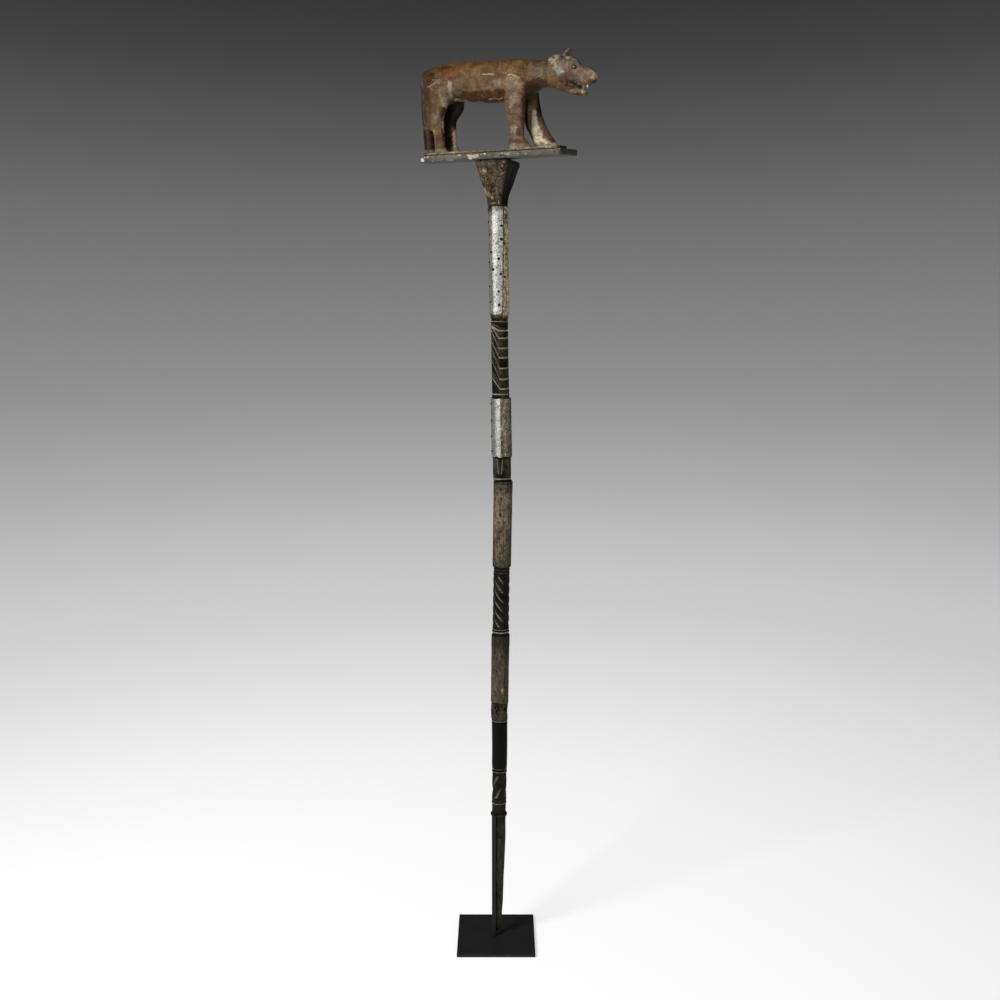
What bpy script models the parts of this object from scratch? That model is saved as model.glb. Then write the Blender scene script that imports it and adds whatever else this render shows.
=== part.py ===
"""Linguist staff: a carved wooden shaft in two lengths with foil sleeves, topped by a
standing leopard on a plank, and held upright by a small steel stand.

Units are metres, +Z is up.  The origin is the centre of the stand plate's underside,
+X points to the side the leopard faces and -Y to the front.
"""
import math

import bmesh
import bpy
from mathutils import Matrix, Vector

# ---------------------------------------------------------------- general sizes
GAP = 0.0003                    # clear space between pieces that touch
SIDES = 24                      # facets around the shaft
FOIL = 0.0007                   # thickness of the foil sleeves
FRONT = math.radians(-90.0)     # the angle round the shaft that faces the front

# ---------------------------------------------------------------- the steel stand
PLATE_SIDE = 0.1524
PLATE_THICK = 0.0064
PLATE_BEVEL = 0.0008
POST_WIDTH = 0.0078
POST_DEPTH = 0.0050
POST_X = -0.0046
POST_BASE_Y = -0.0095
POST_TOP_Y = -0.0159
COLLAR_Z = 0.2609
COLLAR_HEIGHT = 0.0040
COLLAR_WALL = 0.0022
SEAT_RADIUS = 0.0078
SEAT_SHIFT = (-0.0021, -0.0030)   # from under the foot towards the post
SEAT_THICK = 0.0030

# ---------------------------------------------------------------- the two shafts
FOOT_Z = 0.0185
JOINT_Z = 0.9222                # where the two lengths of shaft meet
TOP_Z = 1.4210                  # where the upper shaft meets the capital
JOINT_OPEN = 0.0006             # half of the wedge that the joint opens by on one side

# centre line of each length of shaft: (height, x)
UPPER_LINE = [(0.9222, 0.0115), (1.0600, 0.0094), (1.1500, 0.0073), (1.4990, 0.0032)]
LOWER_LINE = [(0.0185, 0.0038), (0.2610, 0.0052), (0.3100, 0.0060), (0.4000, 0.0069), (0.4540, 0.0066),
              (0.4720, 0.0058), (0.4875, 0.0067), (0.6200, 0.0086), (0.9222, 0.0135)]

# carved stretch with notches like ladder rungs, under the top sleeve
LADDER_LOW, LADDER_HIGH = 1.0840, 1.2180
LADDER_RADIUS = 0.0158
LADDER_NOTCHES = [1.0923, 1.1100, 1.1299, 1.1492, 1.1664, 1.1847, 1.1984]
LADDER_DEPTH = 0.0017
LADDER_NOTCH = 0.0028
LADDER_LEFT = math.radians(-14.0)     # the front edge of the ladder panel, from the front
LADDER_RIGHT = math.radians(86.0)
LADDER_BACK = math.radians(186.0)
LADDER_FAR = math.radians(266.0)

# fluted stretch just above the joint
FLUTE_LOW, FLUTE_HIGH = 0.9310, 0.9640
FLUTE_RADIUS = 0.0171
FLUTE_COUNT = 6
FLUTE_DEPTH = 0.0024
FLUTE_RUN = 0.0060              # over which a flute runs out at each end

# twisted stretch in the middle of the lower shaft
TWIST_LOW, TWIST_HIGH = 0.6350, 0.7430
TWIST_RADIUS = 0.0156
TWIST_STARTS = 6
TWIST_LEAD = 0.1120
TWIST_DEPTH = 0.0018

# lozenge stretch under the lowest sleeve
LOZENGE_LOW, LOZENGE_HIGH = 0.4565, 0.4865
LOZENGE_RADIUS = 0.0162
LOZENGE_COUNT = 6
LOZENGE_DEPTH = 0.0020

# short stretch with the opposite twist, above the foot
REVERSE_LOW, REVERSE_HIGH = 0.2915, 0.3460
REVERSE_RADIUS = 0.0140
REVERSE_STARTS = 4
REVERSE_LEAD = 0.1500
REVERSE_DEPTH = 0.0015

# the worn foot tapers to a blunt point: (height, radius)
FOOT_TAPER = [(0.2050, 0.0129), (0.1660, 0.0119), (0.1100, 0.0103), (0.0720, 0.0089), (0.0450, 0.0076),
              (0.0260, 0.0062), (FOOT_Z, 0.0046)]

# foil sleeves: (name, low, high, radius low, radius high)
SLEEVES = [
    ("top_sleeve", 1.2280, 1.4205, 0.0186, 0.0186),
    ("middle_sleeve", 0.9655, 1.0755, 0.0192, 0.0192),
    ("joint_sleeve", 0.7555, 0.9212, 0.0177, 0.0183),
    ("lower_sleeve", 0.4875, 0.6245, 0.0171, 0.0176),
]
LIP_HEIGHT = 0.0090             # the crushed lip at the foot of the top sleeve
LIP_RADIUS = 0.0164

# ---------------------------------------------------------------- capital and plank
YAW = math.radians(-20.0)       # how far the carving on top is turned to the front
TILT = math.radians(5.5)        # the plank leans: its far edge is the higher one
ROLL = math.radians(0.4)
CAPITAL_TOP = 1.4990
CAPITAL_HALF = 0.0316
CAPITAL_NECK = 0.0180
CAPITAL_BAND = 0.0095
CAPITAL_SIDES = 32
CAPITAL_RIB = 0.0036
CAPITAL_ROWS = (0.0, 0.07, 0.25, 0.45, 0.65, 0.82, 0.93, 0.999)     # from the neck up to the band
PLANK_WIDTH = 0.0870
PLANK_TAIL_END = (-0.1340, -0.1510)   # where its near and its far edge end, behind the tail
PLANK_HEAD_END = (0.1317, 0.1363)     # and under the head
PLANK_THICK = 0.0110
PLANK_BEVEL = 0.0012
SLAB_BACK, SLAB_FRONT = -0.1425, 0.1245
SLAB_HALF_WIDTH = 0.0200
SLAB_THICK = 0.0056
SLAB_ROUND = 0.0085             # how far the slab's back corners are rounded off
SLAB_BEVEL = 0.0012

# ---------------------------------------------------------------- the leopard
# Heights are above the plank's underside, lengths run from the tail (-) to the nose (+).
# body and head: (along, low, high, half width)
BODY = [
    (-0.1390, 0.118, 0.148, 0.009), (-0.1350, 0.102, 0.1575, 0.0150), (-0.1200, 0.094, 0.1625, 0.0190),
    (-0.0980, 0.097, 0.1675, 0.0205), (-0.0700, 0.102, 0.1690, 0.0205), (-0.0250, 0.097, 0.1680, 0.0210),
    (0.0200, 0.095, 0.1670, 0.0215), (0.0500, 0.097, 0.1655, 0.0215), (0.0720, 0.105, 0.1630, 0.0190),
    (0.0900, 0.1135, 0.1605, 0.0165), (0.1060, 0.114, 0.1620, 0.0165), (0.1220, 0.113, 0.1655, 0.0175),
    (0.1360, 0.119, 0.1640, 0.0170), (0.1480, 0.120, 0.1610, 0.0150), (0.1580, 0.116, 0.1555, 0.0130),
    (0.1690, 0.112, 0.1460, 0.0118), (0.1800, 0.114, 0.1390, 0.0110), (0.1860, 0.1195, 0.1345, 0.0085),
]
JAW = [
    (0.1060, 0.1135, 0.132, 0.0122), (0.1210, 0.1072, 0.126, 0.0130), (0.1370, 0.1015, 0.1172, 0.0120),
    (0.1480, 0.0986, 0.1120, 0.0105), (0.1560, 0.0971, 0.1094, 0.0095), (0.1630, 0.0965, 0.1075, 0.0085),
    (0.1690, 0.0970, 0.1030, 0.0060),
]
MOUTH = [       # what fills the back of the open mouth
    (0.1340, 0.1120, 0.1240, 0.0040), (0.1480, 0.1090, 0.1230, 0.0040), (0.1580, 0.1060, 0.1200, 0.0038),
    (0.1655, 0.1050, 0.1160, 0.0032),
]
NEAR_HIND = [
    (0.150, -0.120, -0.082, 0.0055), (0.131, -0.1280, -0.0765, 0.0085), (0.114, -0.1305, -0.0800, 0.0088),
    (0.098, -0.1335, -0.0855, 0.0084), (0.086, -0.1342, -0.0905, 0.0080), (0.074, -0.1342, -0.0945, 0.0075),
    (0.065, -0.1325, -0.0952, 0.0071), (0.057, -0.1235, -0.0953, 0.0067), (0.049, -0.1165, -0.0953, 0.0066),
    (0.027, -0.1155, -0.0950, 0.0066), (0.0190, -0.1160, -0.0895, 0.0072), (0.0130, -0.1165, -0.0870, 0.0076),
]
FAR_HIND = [
    (0.150, -0.108, -0.074, 0.0055), (0.131, -0.116, -0.0630, 0.0085), (0.110, -0.1120, -0.0630, 0.0085),
    (0.098, -0.1100, -0.0645, 0.0082), (0.087, -0.1085, -0.0667, 0.0080), (0.076, -0.1080, -0.0760, 0.0076),
    (0.068, -0.1080, -0.0812, 0.0070), (0.048, -0.1080, -0.0825, 0.0066), (0.030, -0.1075, -0.0820, 0.0066),
    (0.0190, -0.1075, -0.0760, 0.0072), (0.0130, -0.1075, -0.0730, 0.0076),
]
NEAR_FORE = [
    (0.150, 0.028, 0.052, 0.0055), (0.128, 0.0165, 0.0625, 0.0090), (0.106, 0.0190, 0.0618, 0.0095),
    (0.088, 0.0220, 0.0612, 0.0090), (0.070, 0.0252, 0.0590, 0.0080), (0.052, 0.0283, 0.0570, 0.0072),
    (0.036, 0.0285, 0.0560, 0.0072), (0.0260, 0.0265, 0.0630, 0.0078), (0.0190, 0.0252, 0.0690, 0.0082),
    (0.0130, 0.0245, 0.0720, 0.0085),
]
FAR_FORE = [
    (0.150, 0.038, 0.062, 0.0055), (0.128, 0.0340, 0.0755, 0.0090), (0.108, 0.0420, 0.0772, 0.0095),
    (0.084, 0.0485, 0.0798, 0.0090), (0.062, 0.0492, 0.0855, 0.0080), (0.049, 0.0530, 0.0916, 0.0074),
    (0.036, 0.0598, 0.0982, 0.0072), (0.026, 0.0645, 0.1058, 0.0078), (0.0190, 0.0670, 0.1094, 0.0082),
    (0.0130, 0.0675, 0.1110, 0.0084),
]
LIMB_OUT = 0.0125               # how far each leg stands from the middle of the body
TAIL = [
    (0.157, -0.1360, -0.1220, 0.0060), (0.148, -0.1410, -0.1290, 0.0056), (0.120, -0.1425, -0.1310, 0.0052),
    (0.090, -0.1433, -0.1310, 0.0054), (0.074, -0.1428, -0.1285, 0.0058), (0.060, -0.1420, -0.1200, 0.0070),
    (0.030, -0.1412, -0.1190, 0.0080), (0.013, -0.1410, -0.1200, 0.0084),
]
NEAR_EAR = [
    (0.1035, 0.1565, 0.1595, 0.0022), (0.1080, 0.1545, 0.1640, 0.0040), (0.1160, 0.1538, 0.1668, 0.0048),
    (0.1230, 0.1560, 0.1668, 0.0042), (0.1280, 0.1605, 0.1660, 0.0022),
]
FAR_EAR = [
    (0.158, 0.1170, 0.1330, 0.0036), (0.1675, 0.1218, 0.1350, 0.0036), (0.1725, 0.1268, 0.1385, 0.0032),
    (0.1765, 0.1322, 0.1403, 0.0026), (0.1788, 0.1355, 0.1392, 0.0018),
]
EAR_OUT = 0.0130
EYE_PLACE = (0.1500, 0.0125, 0.1440)
EYE_RADIUS = 0.0034
VOXEL = 0.0030
LEOPARD_KEEP = 0.105            # share of the faces that the animal keeps

COLLECTION = "linguist_staff"
CUTTERS = "cutters"


# ---------------------------------------------------------------- helpers
def clear_scene():
    for item in list(bpy.data.objects):
        bpy.data.objects.remove(item, do_unlink=True)


def make_collection(name):
    collection = bpy.data.collections.new(name)
    bpy.context.scene.collection.children.link(collection)
    return collection


def material(name, colour, roughness, metallic=0.0):
    finish = bpy.data.materials.new(name)
    finish.use_nodes = True
    shader = finish.node_tree.nodes["Principled BSDF"]
    shader.inputs["Base Color"].default_value = (*colour, 1.0)
    shader.inputs["Roughness"].default_value = roughness
    shader.inputs["Metallic"].default_value = metallic
    return finish


def new_object(name, bm, collection, finish, sharp=math.radians(35.0)):
    mesh = bpy.data.meshes.new(name)
    bm.to_mesh(mesh)
    bm.free()
    mesh.shade_smooth()
    mesh.set_sharp_from_angle(angle=sharp)
    piece = bpy.data.objects.new(name, mesh)
    collection.objects.link(piece)
    mesh.materials.append(finish)
    return piece


def hide_guide(piece):
    piece.hide_render = True
    piece.display_type = "WIRE"


def smooth_step(value):
    value = max(0.0, min(1.0, value))
    return value * value * (3.0 - 2.0 * value)


def along(line, height):
    """Read a centre line, a list of (height, x), at one height."""
    for (low, x_low), (high, x_high) in zip(line, line[1:]):
        if height <= high:
            break
    share = (height - low) / (high - low)
    return x_low + (x_high - x_low) * share


def skin_rings(bm, rings, closed_ends=True):
    """Join rings of points, given bottom to top and anticlockwise from above, with faces."""
    loops = [[bm.verts.new(point) for point in ring] for ring in rings]
    count = len(loops[0])
    for lower, upper in zip(loops, loops[1:]):
        for i in range(count):
            j = (i + 1) % count
            bm.faces.new((lower[i], lower[j], upper[j], upper[i]))
    if closed_ends:
        bm.faces.new(list(reversed(loops[0])))
        bm.faces.new(loops[-1])
    return loops


def no_rise(angle):
    return 0.0


def row(height, radius, turn=0.0, slope=0.0, rise=no_rise):
    """One ring of a shaft: radius is a number or a function of the angle round it."""
    return {"height": height, "radius": radius, "turn": turn, "slope": slope, "rise": rise}


def row_points(line, entry, sides):
    centre = along(line, entry["height"])
    points = []
    for i in range(sides):
        angle = 2.0 * math.pi * i / sides + entry["turn"]
        radius = entry["radius"]
        if callable(radius):
            radius = radius(angle)
        x = radius * math.cos(angle)
        z = entry["height"] + entry["slope"] * x + entry["rise"](angle)
        points.append((centre + x, radius * math.sin(angle), z))
    return points


def shaft(name, line, rows, collection, finish):
    """Skin rows bottom to top; the facets follow each twisted stretch and go on from where it ends."""
    rows = sorted(rows, key=lambda entry: entry["height"])
    facet = 2.0 * math.pi / SIDES
    start = 0.0
    before = 0.0
    rings = []
    for entry in rows:
        if entry["turn"] == 0.0:
            start += round(before / facet) * facet
        before = entry["turn"]
        rings.append(row_points(line, {**entry, "turn": start + before}, SIDES))
    bm = bmesh.new()
    skin_rings(bm, rings)
    return new_object(name, bm, collection, finish)


# ---------------------------------------------------------------- carved stretches
def ladder_rise(angle):
    """How far the notches climb at an angle: level in two panels, slanting in the others."""
    turn = (angle - FRONT - LADDER_LEFT) % (2.0 * math.pi)
    right = LADDER_RIGHT - LADDER_LEFT
    back = LADDER_BACK - LADDER_LEFT
    far = LADDER_FAR - LADDER_LEFT
    if turn <= right:
        return 0.0
    if turn <= back:
        return (turn - right) / (back - right)
    if turn <= far:
        return 1.0
    return 1.0 - (turn - far) / (2.0 * math.pi - far)


def ladder_rows():
    """Rungs and notches round the stretch under the top sleeve."""
    rows = [row(LADDER_LOW, LADDER_RADIUS), row(LADDER_HIGH, LADDER_RADIUS - 0.0009)]
    above = LADDER_NOTCHES[1:] + [LADDER_HIGH]
    for index, (middle, upper) in enumerate(zip(LADDER_NOTCHES, above)):
        inside = smooth_step((index + 1.2) / 2.0) * smooth_step((len(LADDER_NOTCHES) - index - 0.4) / 2.0)

        def rise(angle, lift=(upper - middle) * inside):
            return lift * ladder_rise(angle)

        rows.append(row(middle - LADDER_NOTCH, LADDER_RADIUS, rise=rise))
        rows.append(row(middle, LADDER_RADIUS - LADDER_DEPTH, rise=rise))
        rows.append(row(middle + LADDER_NOTCH, LADDER_RADIUS, rise=rise))
    return rows


def flute_rows():
    rows = []
    for height, share in ((FLUTE_LOW, 0.2), (FLUTE_LOW + FLUTE_RUN, 1.0),
                          (FLUTE_HIGH - FLUTE_RUN, 1.0), (FLUTE_HIGH, 0.2)):

        def radius(angle, share=share):
            wave = 0.5 - 0.5 * math.cos(FLUTE_COUNT * (angle - FRONT))
            return FLUTE_RADIUS - FLUTE_DEPTH * share * wave

        rows.append(row(height, radius))
    return rows


def twist_rows(low, high, base, starts, lead, depth, steps):
    """Strands that wind round the shaft, rising to the right, or to the left with a negative lead."""
    rows = []
    for step in range(steps + 1):
        height = low + (high - low) * step / steps
        turn = 2.0 * math.pi * (height - low) / lead
        ends = smooth_step(min(step, steps - step) / 1.5)

        def radius(angle, turn=turn, ends=ends):
            wave = math.cos(starts * (angle - turn))
            return base - depth * (0.45 - 0.55 * wave) * (0.25 + 0.75 * ends)

        rows.append(row(height, radius, turn=turn))
    return rows


def lozenge_rows():
    rows = []
    steps = 6
    for step in range(steps + 1):
        share = step / steps
        ends = smooth_step(min(step, steps - step))

        def radius(angle, share=share, ends=ends):
            cross = math.cos(LOZENGE_COUNT * (angle - FRONT)) * math.cos(2.0 * math.pi * share)
            return LOZENGE_RADIUS - 0.0007 * (1.0 - share) + LOZENGE_DEPTH * ends * (0.5 * cross - 0.4)

        rows.append(row(LOZENGE_LOW + (LOZENGE_HIGH - LOZENGE_LOW) * share, radius))
    return rows


def bead_rows(height, base, proud, half):
    """A raised ring round the shaft."""
    return [row(height - half, base), row(height, base + proud), row(height + half, base)]


def seat_rows(low, high, radius_low, radius_high):
    """The plain wood that a sleeve is wrapped on."""
    inset = FOIL + GAP
    return [row(low, radius_low - inset), row(high, radius_high - inset)]


# ---------------------------------------------------------------- the pieces
def make_upper_shaft(collection, finish):
    sleeve = {name: sizes for name, *sizes in SLEEVES}
    lip_low = sleeve["top_sleeve"][0] - LIP_HEIGHT
    rows = [
        row(JOINT_Z + JOINT_OPEN, 0.0166, slope=0.014),
        row(0.9255, 0.0170), row(0.9280, 0.0165),
        row(LADDER_LOW - 0.0070, 0.0158), row(LADDER_LOW - 0.0035, 0.0163),
        row(LADDER_LOW - 0.0008, 0.0154),
        row(lip_low, LIP_RADIUS - FOIL - GAP - 0.0004),
        row(lip_low + LIP_HEIGHT - 0.0004, LIP_RADIUS - FOIL - GAP - 0.0004),
        row(sleeve["top_sleeve"][0] + 0.0008, 0.0174), row(TOP_Z, 0.0174),
        row(sleeve["middle_sleeve"][0], 0.0180), row(sleeve["middle_sleeve"][1], 0.0180),
    ]
    rows += ladder_rows()
    rows += flute_rows()
    return shaft("upper_shaft", UPPER_LINE, rows, collection, finish)


def make_lower_shaft(collection, finish):
    sleeve = {name: sizes for name, *sizes in SLEEVES}
    rows = [row(JOINT_Z - JOINT_OPEN, 0.0169, slope=-0.012)]
    low, high, radius_low, radius_high = sleeve["joint_sleeve"]
    rows += seat_rows(low, high - 0.0010, radius_low, radius_high)
    rows += [row(0.7525, 0.0149), row(0.7500, 0.0154), row(0.7475, 0.0149), row(0.7450, 0.0154)]
    rows += twist_rows(TWIST_LOW, TWIST_HIGH, TWIST_RADIUS, TWIST_STARTS, -TWIST_LEAD, TWIST_DEPTH, 13)
    rows += bead_rows(0.6300, 0.0154, 0.0011, 0.0030)
    low, high, radius_low, radius_high = sleeve["lower_sleeve"]
    rows += seat_rows(low, high, radius_low, radius_high)
    rows += lozenge_rows()
    rows += bead_rows(0.4530, 0.0149, 0.0006, 0.0016)
    rows += [row(0.3600, 0.0147)]
    rows += bead_rows(0.3560, 0.0140, 0.0007, 0.0018)
    rows += bead_rows(0.3500, 0.0140, 0.0007, 0.0018)
    rows += twist_rows(REVERSE_LOW, REVERSE_HIGH, REVERSE_RADIUS, REVERSE_STARTS, REVERSE_LEAD,
                       REVERSE_DEPTH, 7)
    rows += bead_rows(0.2852, 0.0135, 0.0010, 0.0022)
    rows += [row(COLLAR_Z + 0.0060, 0.0133), row(COLLAR_Z - 0.0040, 0.0133)]
    rows += [row(height, radius) for height, radius in FOOT_TAPER]
    return shaft("lower_shaft", LOWER_LINE, rows, collection, finish)


def tube_points(line, height, radius):
    return row_points(line, row(height, radius), SIDES)


def tube(bm, line, outline):
    """A closed wall round the shaft; outline runs up the outside and down the inside."""
    loops = [[bm.verts.new(point) for point in tube_points(line, height, radius)]
             for height, radius in outline]
    for lower, upper in zip(loops, loops[1:] + loops[:1]):
        for i in range(SIDES):
            j = (i + 1) % SIDES
            bm.faces.new((lower[i], lower[j], upper[j], upper[i]))


def make_sleeve(name, low, high, radius_low, radius_high, collection, finish):
    line = UPPER_LINE if low > JOINT_Z else LOWER_LINE
    outline = [(low, radius_low), (high, radius_high), (high, radius_high - FOIL), (low, radius_low - FOIL)]
    if name == "top_sleeve":
        lip = low - LIP_HEIGHT
        outline = [(lip, LIP_RADIUS), (low - 0.0012, LIP_RADIUS + 0.0004)] + outline
        outline += [(low - 0.0012, LIP_RADIUS - FOIL), (lip, LIP_RADIUS - FOIL)]
    bm = bmesh.new()
    tube(bm, line, outline)
    return new_object(name, bm, collection, finish)


def capital_radius(height, angle):
    """A flared block: round at the neck, square at the top, two broad ribs on each face."""
    bottom = TOP_Z + GAP
    share = (height - bottom) / (CAPITAL_TOP - CAPITAL_BAND - bottom)
    flare = min(share, 1.0) ** 1.45
    half = CAPITAL_NECK + (CAPITAL_HALF - 0.0012 - CAPITAL_NECK) * flare
    if share > 1.0:
        half = CAPITAL_HALF
    power = 2.0 + 34.0 * smooth_step(share) ** 2.5
    reach = (abs(math.cos(angle)) ** power + abs(math.sin(angle)) ** power) ** (-1.0 / power)
    if not 0.0 < share < 1.0:
        return half * reach
    swell = math.sin(math.pi * share) ** 0.5
    groove = (0.5 + 0.5 * math.cos(8.0 * angle)) * abs(math.cos(2.0 * angle))
    return half * reach - CAPITAL_RIB * swell * groove


def make_capital(collection, finish):
    bottom = TOP_Z + GAP
    band = CAPITAL_TOP - CAPITAL_BAND
    heights = [bottom + (band - bottom) * share for share in CAPITAL_ROWS]
    heights += [band + 0.0004, CAPITAL_TOP - 0.0008, CAPITAL_TOP]
    rings = []
    for height in heights:
        centre = along(UPPER_LINE, height)
        inset = 0.0008 if height == CAPITAL_TOP else 0.0
        ring = []
        for i in range(CAPITAL_SIDES):
            angle = 2.0 * math.pi * i / CAPITAL_SIDES
            radius = capital_radius(height, angle) - inset
            turned = angle + YAW
            ring.append((centre + radius * math.cos(turned), radius * math.sin(turned), height))
        rings.append(ring)
    bm = bmesh.new()
    skin_rings(bm, rings)
    return new_object("capital", bm, collection, finish)


def finial_frame():
    """Where the plank and the leopard stand: on the front edge of the capital's top."""
    x = along(UPPER_LINE, CAPITAL_TOP)
    lift = CAPITAL_HALF * math.sin(TILT) + GAP + 0.0001
    place = Matrix.Translation((x, 0.0, CAPITAL_TOP + lift))
    turn = Matrix.Rotation(YAW, 4, "Z") @ Matrix.Rotation(TILT, 4, "X") @ Matrix.Rotation(-ROLL, 4, "Y")
    return place @ turn


def box(bm, low, high):
    size = Vector(high) - Vector(low)
    centre = (Vector(high) + Vector(low)) / 2.0
    matrix = Matrix.Translation(centre) @ Matrix.Diagonal((*size, 1.0))
    bmesh.ops.create_cube(bm, size=1.0, matrix=matrix)


def add_bevel(piece, width, segments=2):
    bevel = piece.modifiers.new("edges", "BEVEL")
    bevel.width = width
    bevel.segments = segments
    bevel.limit_method = "ANGLE"


def make_plank(collection, finish):
    """A hand-cut board whose ends are not quite square."""
    near, far = -PLANK_WIDTH / 2.0, PLANK_WIDTH / 2.0
    corners = [(PLANK_TAIL_END[0], near), (PLANK_HEAD_END[0], near),
               (PLANK_HEAD_END[1], far), (PLANK_TAIL_END[1], far)]
    bm = bmesh.new()
    skin_rings(bm, [[(x, y, height) for x, y in corners] for height in (0.0, PLANK_THICK)])
    piece = new_object("plank", bm, collection, finish)
    piece.matrix_world = finial_frame()
    add_bevel(piece, PLANK_BEVEL, 1)
    return piece


def ellipse(centre, across, up, half_across, half_up, sides=14):
    points = []
    for i in range(sides):
        angle = 2.0 * math.pi * i / sides
        points.append(centre + across * (half_across * math.cos(angle)) + up * (half_up * math.sin(angle)))
    return points


def lengthwise(bm, stations, side_shift=0.0):
    """A form whose sections stand across its length, each (along, low, high, half width)."""
    rings = []
    for x, low, high, half in stations:
        centre = Vector((x, side_shift, (low + high) / 2.0))
        rings.append(ellipse(centre, Vector((0, 1, 0)), Vector((0, 0, 1)), half, (high - low) / 2.0))
    skin_rings(bm, rings)


def upright(bm, stations, side_shift):
    """A form whose sections lie level, each (height, back, front, half width)."""
    rings = []
    for z, back, front, half in sorted(stations):
        centre = Vector(((back + front) / 2.0, side_shift, z))
        rings.append(ellipse(centre, Vector((1, 0, 0)), Vector((0, 1, 0)), (front - back) / 2.0, half))
    skin_rings(bm, rings)


def slab_outline(height, steps=6):
    """The animal's own slab: square in front, its back end drawn out in a shallow curve."""
    points = [(SLAB_FRONT, -SLAB_HALF_WIDTH, height), (SLAB_FRONT, SLAB_HALF_WIDTH, height)]
    for step in range(steps + 1):
        share = 1.0 - 2.0 * step / steps
        points.append((SLAB_BACK + SLAB_ROUND * share * share, SLAB_HALF_WIDTH * share, height))
    return points


def make_leopard(collection, cutters, finish):
    bm = bmesh.new()
    lengthwise(bm, BODY)
    lengthwise(bm, JAW)
    lengthwise(bm, MOUTH)
    upright(bm, NEAR_HIND, -LIMB_OUT)
    upright(bm, FAR_HIND, LIMB_OUT)
    upright(bm, NEAR_FORE, -LIMB_OUT)
    upright(bm, FAR_FORE, LIMB_OUT)
    upright(bm, TAIL, 0.0)
    lengthwise(bm, NEAR_EAR, -EAR_OUT)
    upright(bm, FAR_EAR, EAR_OUT - 0.002)
    for side in (-1.0, 1.0):
        x, y, z = EYE_PLACE
        bmesh.ops.create_uvsphere(bm, u_segments=12, v_segments=8, radius=EYE_RADIUS,
                                  matrix=Matrix.Translation((x, side * y, z)))
    piece = new_object("leopard", bm, collection, finish)

    remesh = piece.modifiers.new("one_body", "REMESH")
    remesh.mode = "VOXEL"
    remesh.voxel_size = VOXEL
    soften = piece.modifiers.new("soften", "SMOOTH")
    soften.factor = 0.5
    soften.iterations = 2
    reduce_faces = piece.modifiers.new("facets", "DECIMATE")
    reduce_faces.ratio = LEOPARD_KEEP

    slab_bm = bmesh.new()
    underside = PLANK_THICK + GAP
    skin_rings(slab_bm, [slab_outline(underside), slab_outline(underside + SLAB_THICK)])
    slab = new_object("leopard_slab", slab_bm, cutters, finish)
    add_bevel(slab, SLAB_BEVEL)
    hide_guide(slab)
    slab.matrix_world = finial_frame()

    join = piece.modifiers.new("slab", "BOOLEAN")
    join.operation = "UNION"
    join.solver = "EXACT"
    join.object = slab
    piece.matrix_world = finial_frame()
    return piece


def make_base_plate(collection, finish):
    half = PLATE_SIDE / 2.0
    bm = bmesh.new()
    box(bm, (-half, -half, 0.0), (half, half, PLATE_THICK))
    piece = new_object("base_plate", bm, collection, finish)
    add_bevel(piece, PLATE_BEVEL, 1)
    return piece


def make_support_post(collection, cutters, finish):
    """A square bar that leans along the tapering foot, with a collar and a small seat."""
    base_z = PLATE_THICK + GAP
    rings = []
    for height, middle in ((base_z, POST_BASE_Y), (COLLAR_Z + COLLAR_HEIGHT / 2.0, POST_TOP_Y)):
        rings.append([(POST_X - POST_WIDTH / 2.0, middle - POST_DEPTH / 2.0, height),
                      (POST_X + POST_WIDTH / 2.0, middle - POST_DEPTH / 2.0, height),
                      (POST_X + POST_WIDTH / 2.0, middle + POST_DEPTH / 2.0, height),
                      (POST_X - POST_WIDTH / 2.0, middle + POST_DEPTH / 2.0, height)])
    bm = bmesh.new()
    skin_rings(bm, rings)
    piece = new_object("support_post", bm, collection, finish)
    add_bevel(piece, 0.0006, 1)

    collar_bm = bmesh.new()
    inner = 0.0133 + GAP + 0.0002
    low, high = COLLAR_Z - COLLAR_HEIGHT / 2.0, COLLAR_Z + COLLAR_HEIGHT / 2.0 - 0.0002
    outer = inner + COLLAR_WALL
    tube(collar_bm, LOWER_LINE, [(low, outer), (high, outer), (high, inner), (low, inner)])
    collar = new_object("post_collar", collar_bm, cutters, finish)

    seat_bm = bmesh.new()
    seat_x = along(LOWER_LINE, FOOT_Z)
    place = (seat_x + SEAT_SHIFT[0], SEAT_SHIFT[1], FOOT_Z - GAP - SEAT_THICK / 2.0)
    bmesh.ops.create_cone(seat_bm, cap_ends=True, segments=16, radius1=SEAT_RADIUS, radius2=SEAT_RADIUS,
                          depth=SEAT_THICK, matrix=Matrix.Translation(place))
    seat = new_object("post_seat", seat_bm, cutters, finish)

    for guide in (collar, seat):
        hide_guide(guide)
        join = piece.modifiers.new(guide.name, "BOOLEAN")
        join.operation = "UNION"
        join.solver = "EXACT"
        join.object = guide
    return piece


def main():
    clear_scene()
    parts = make_collection(COLLECTION)
    cutters = make_collection(CUTTERS)
    carved = material("carved_wood", (0.045, 0.035, 0.026), 0.62)
    gilded = material("capital_wood", (0.16, 0.105, 0.065), 0.6)
    paint = material("leopard_paint", (0.30, 0.19, 0.12), 0.6)
    board = material("plank_wood", (0.17, 0.17, 0.13), 0.7)
    silver = material("silver_foil", (0.62, 0.60, 0.56), 0.38, 0.9)
    tarnish = material("tarnished_foil", (0.21, 0.17, 0.12), 0.55, 0.6)
    steel = material("black_steel", (0.035, 0.035, 0.037), 0.45, 0.3)

    make_base_plate(parts, steel)
    make_support_post(parts, cutters, steel)
    make_lower_shaft(parts, carved)
    make_upper_shaft(parts, carved)
    for name, *sizes in SLEEVES:
        make_sleeve(name, *sizes, parts, silver if sizes[0] > JOINT_Z else tarnish)
    make_capital(parts, gilded)
    make_plank(parts, board)
    make_leopard(parts, cutters, paint)


main()
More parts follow.
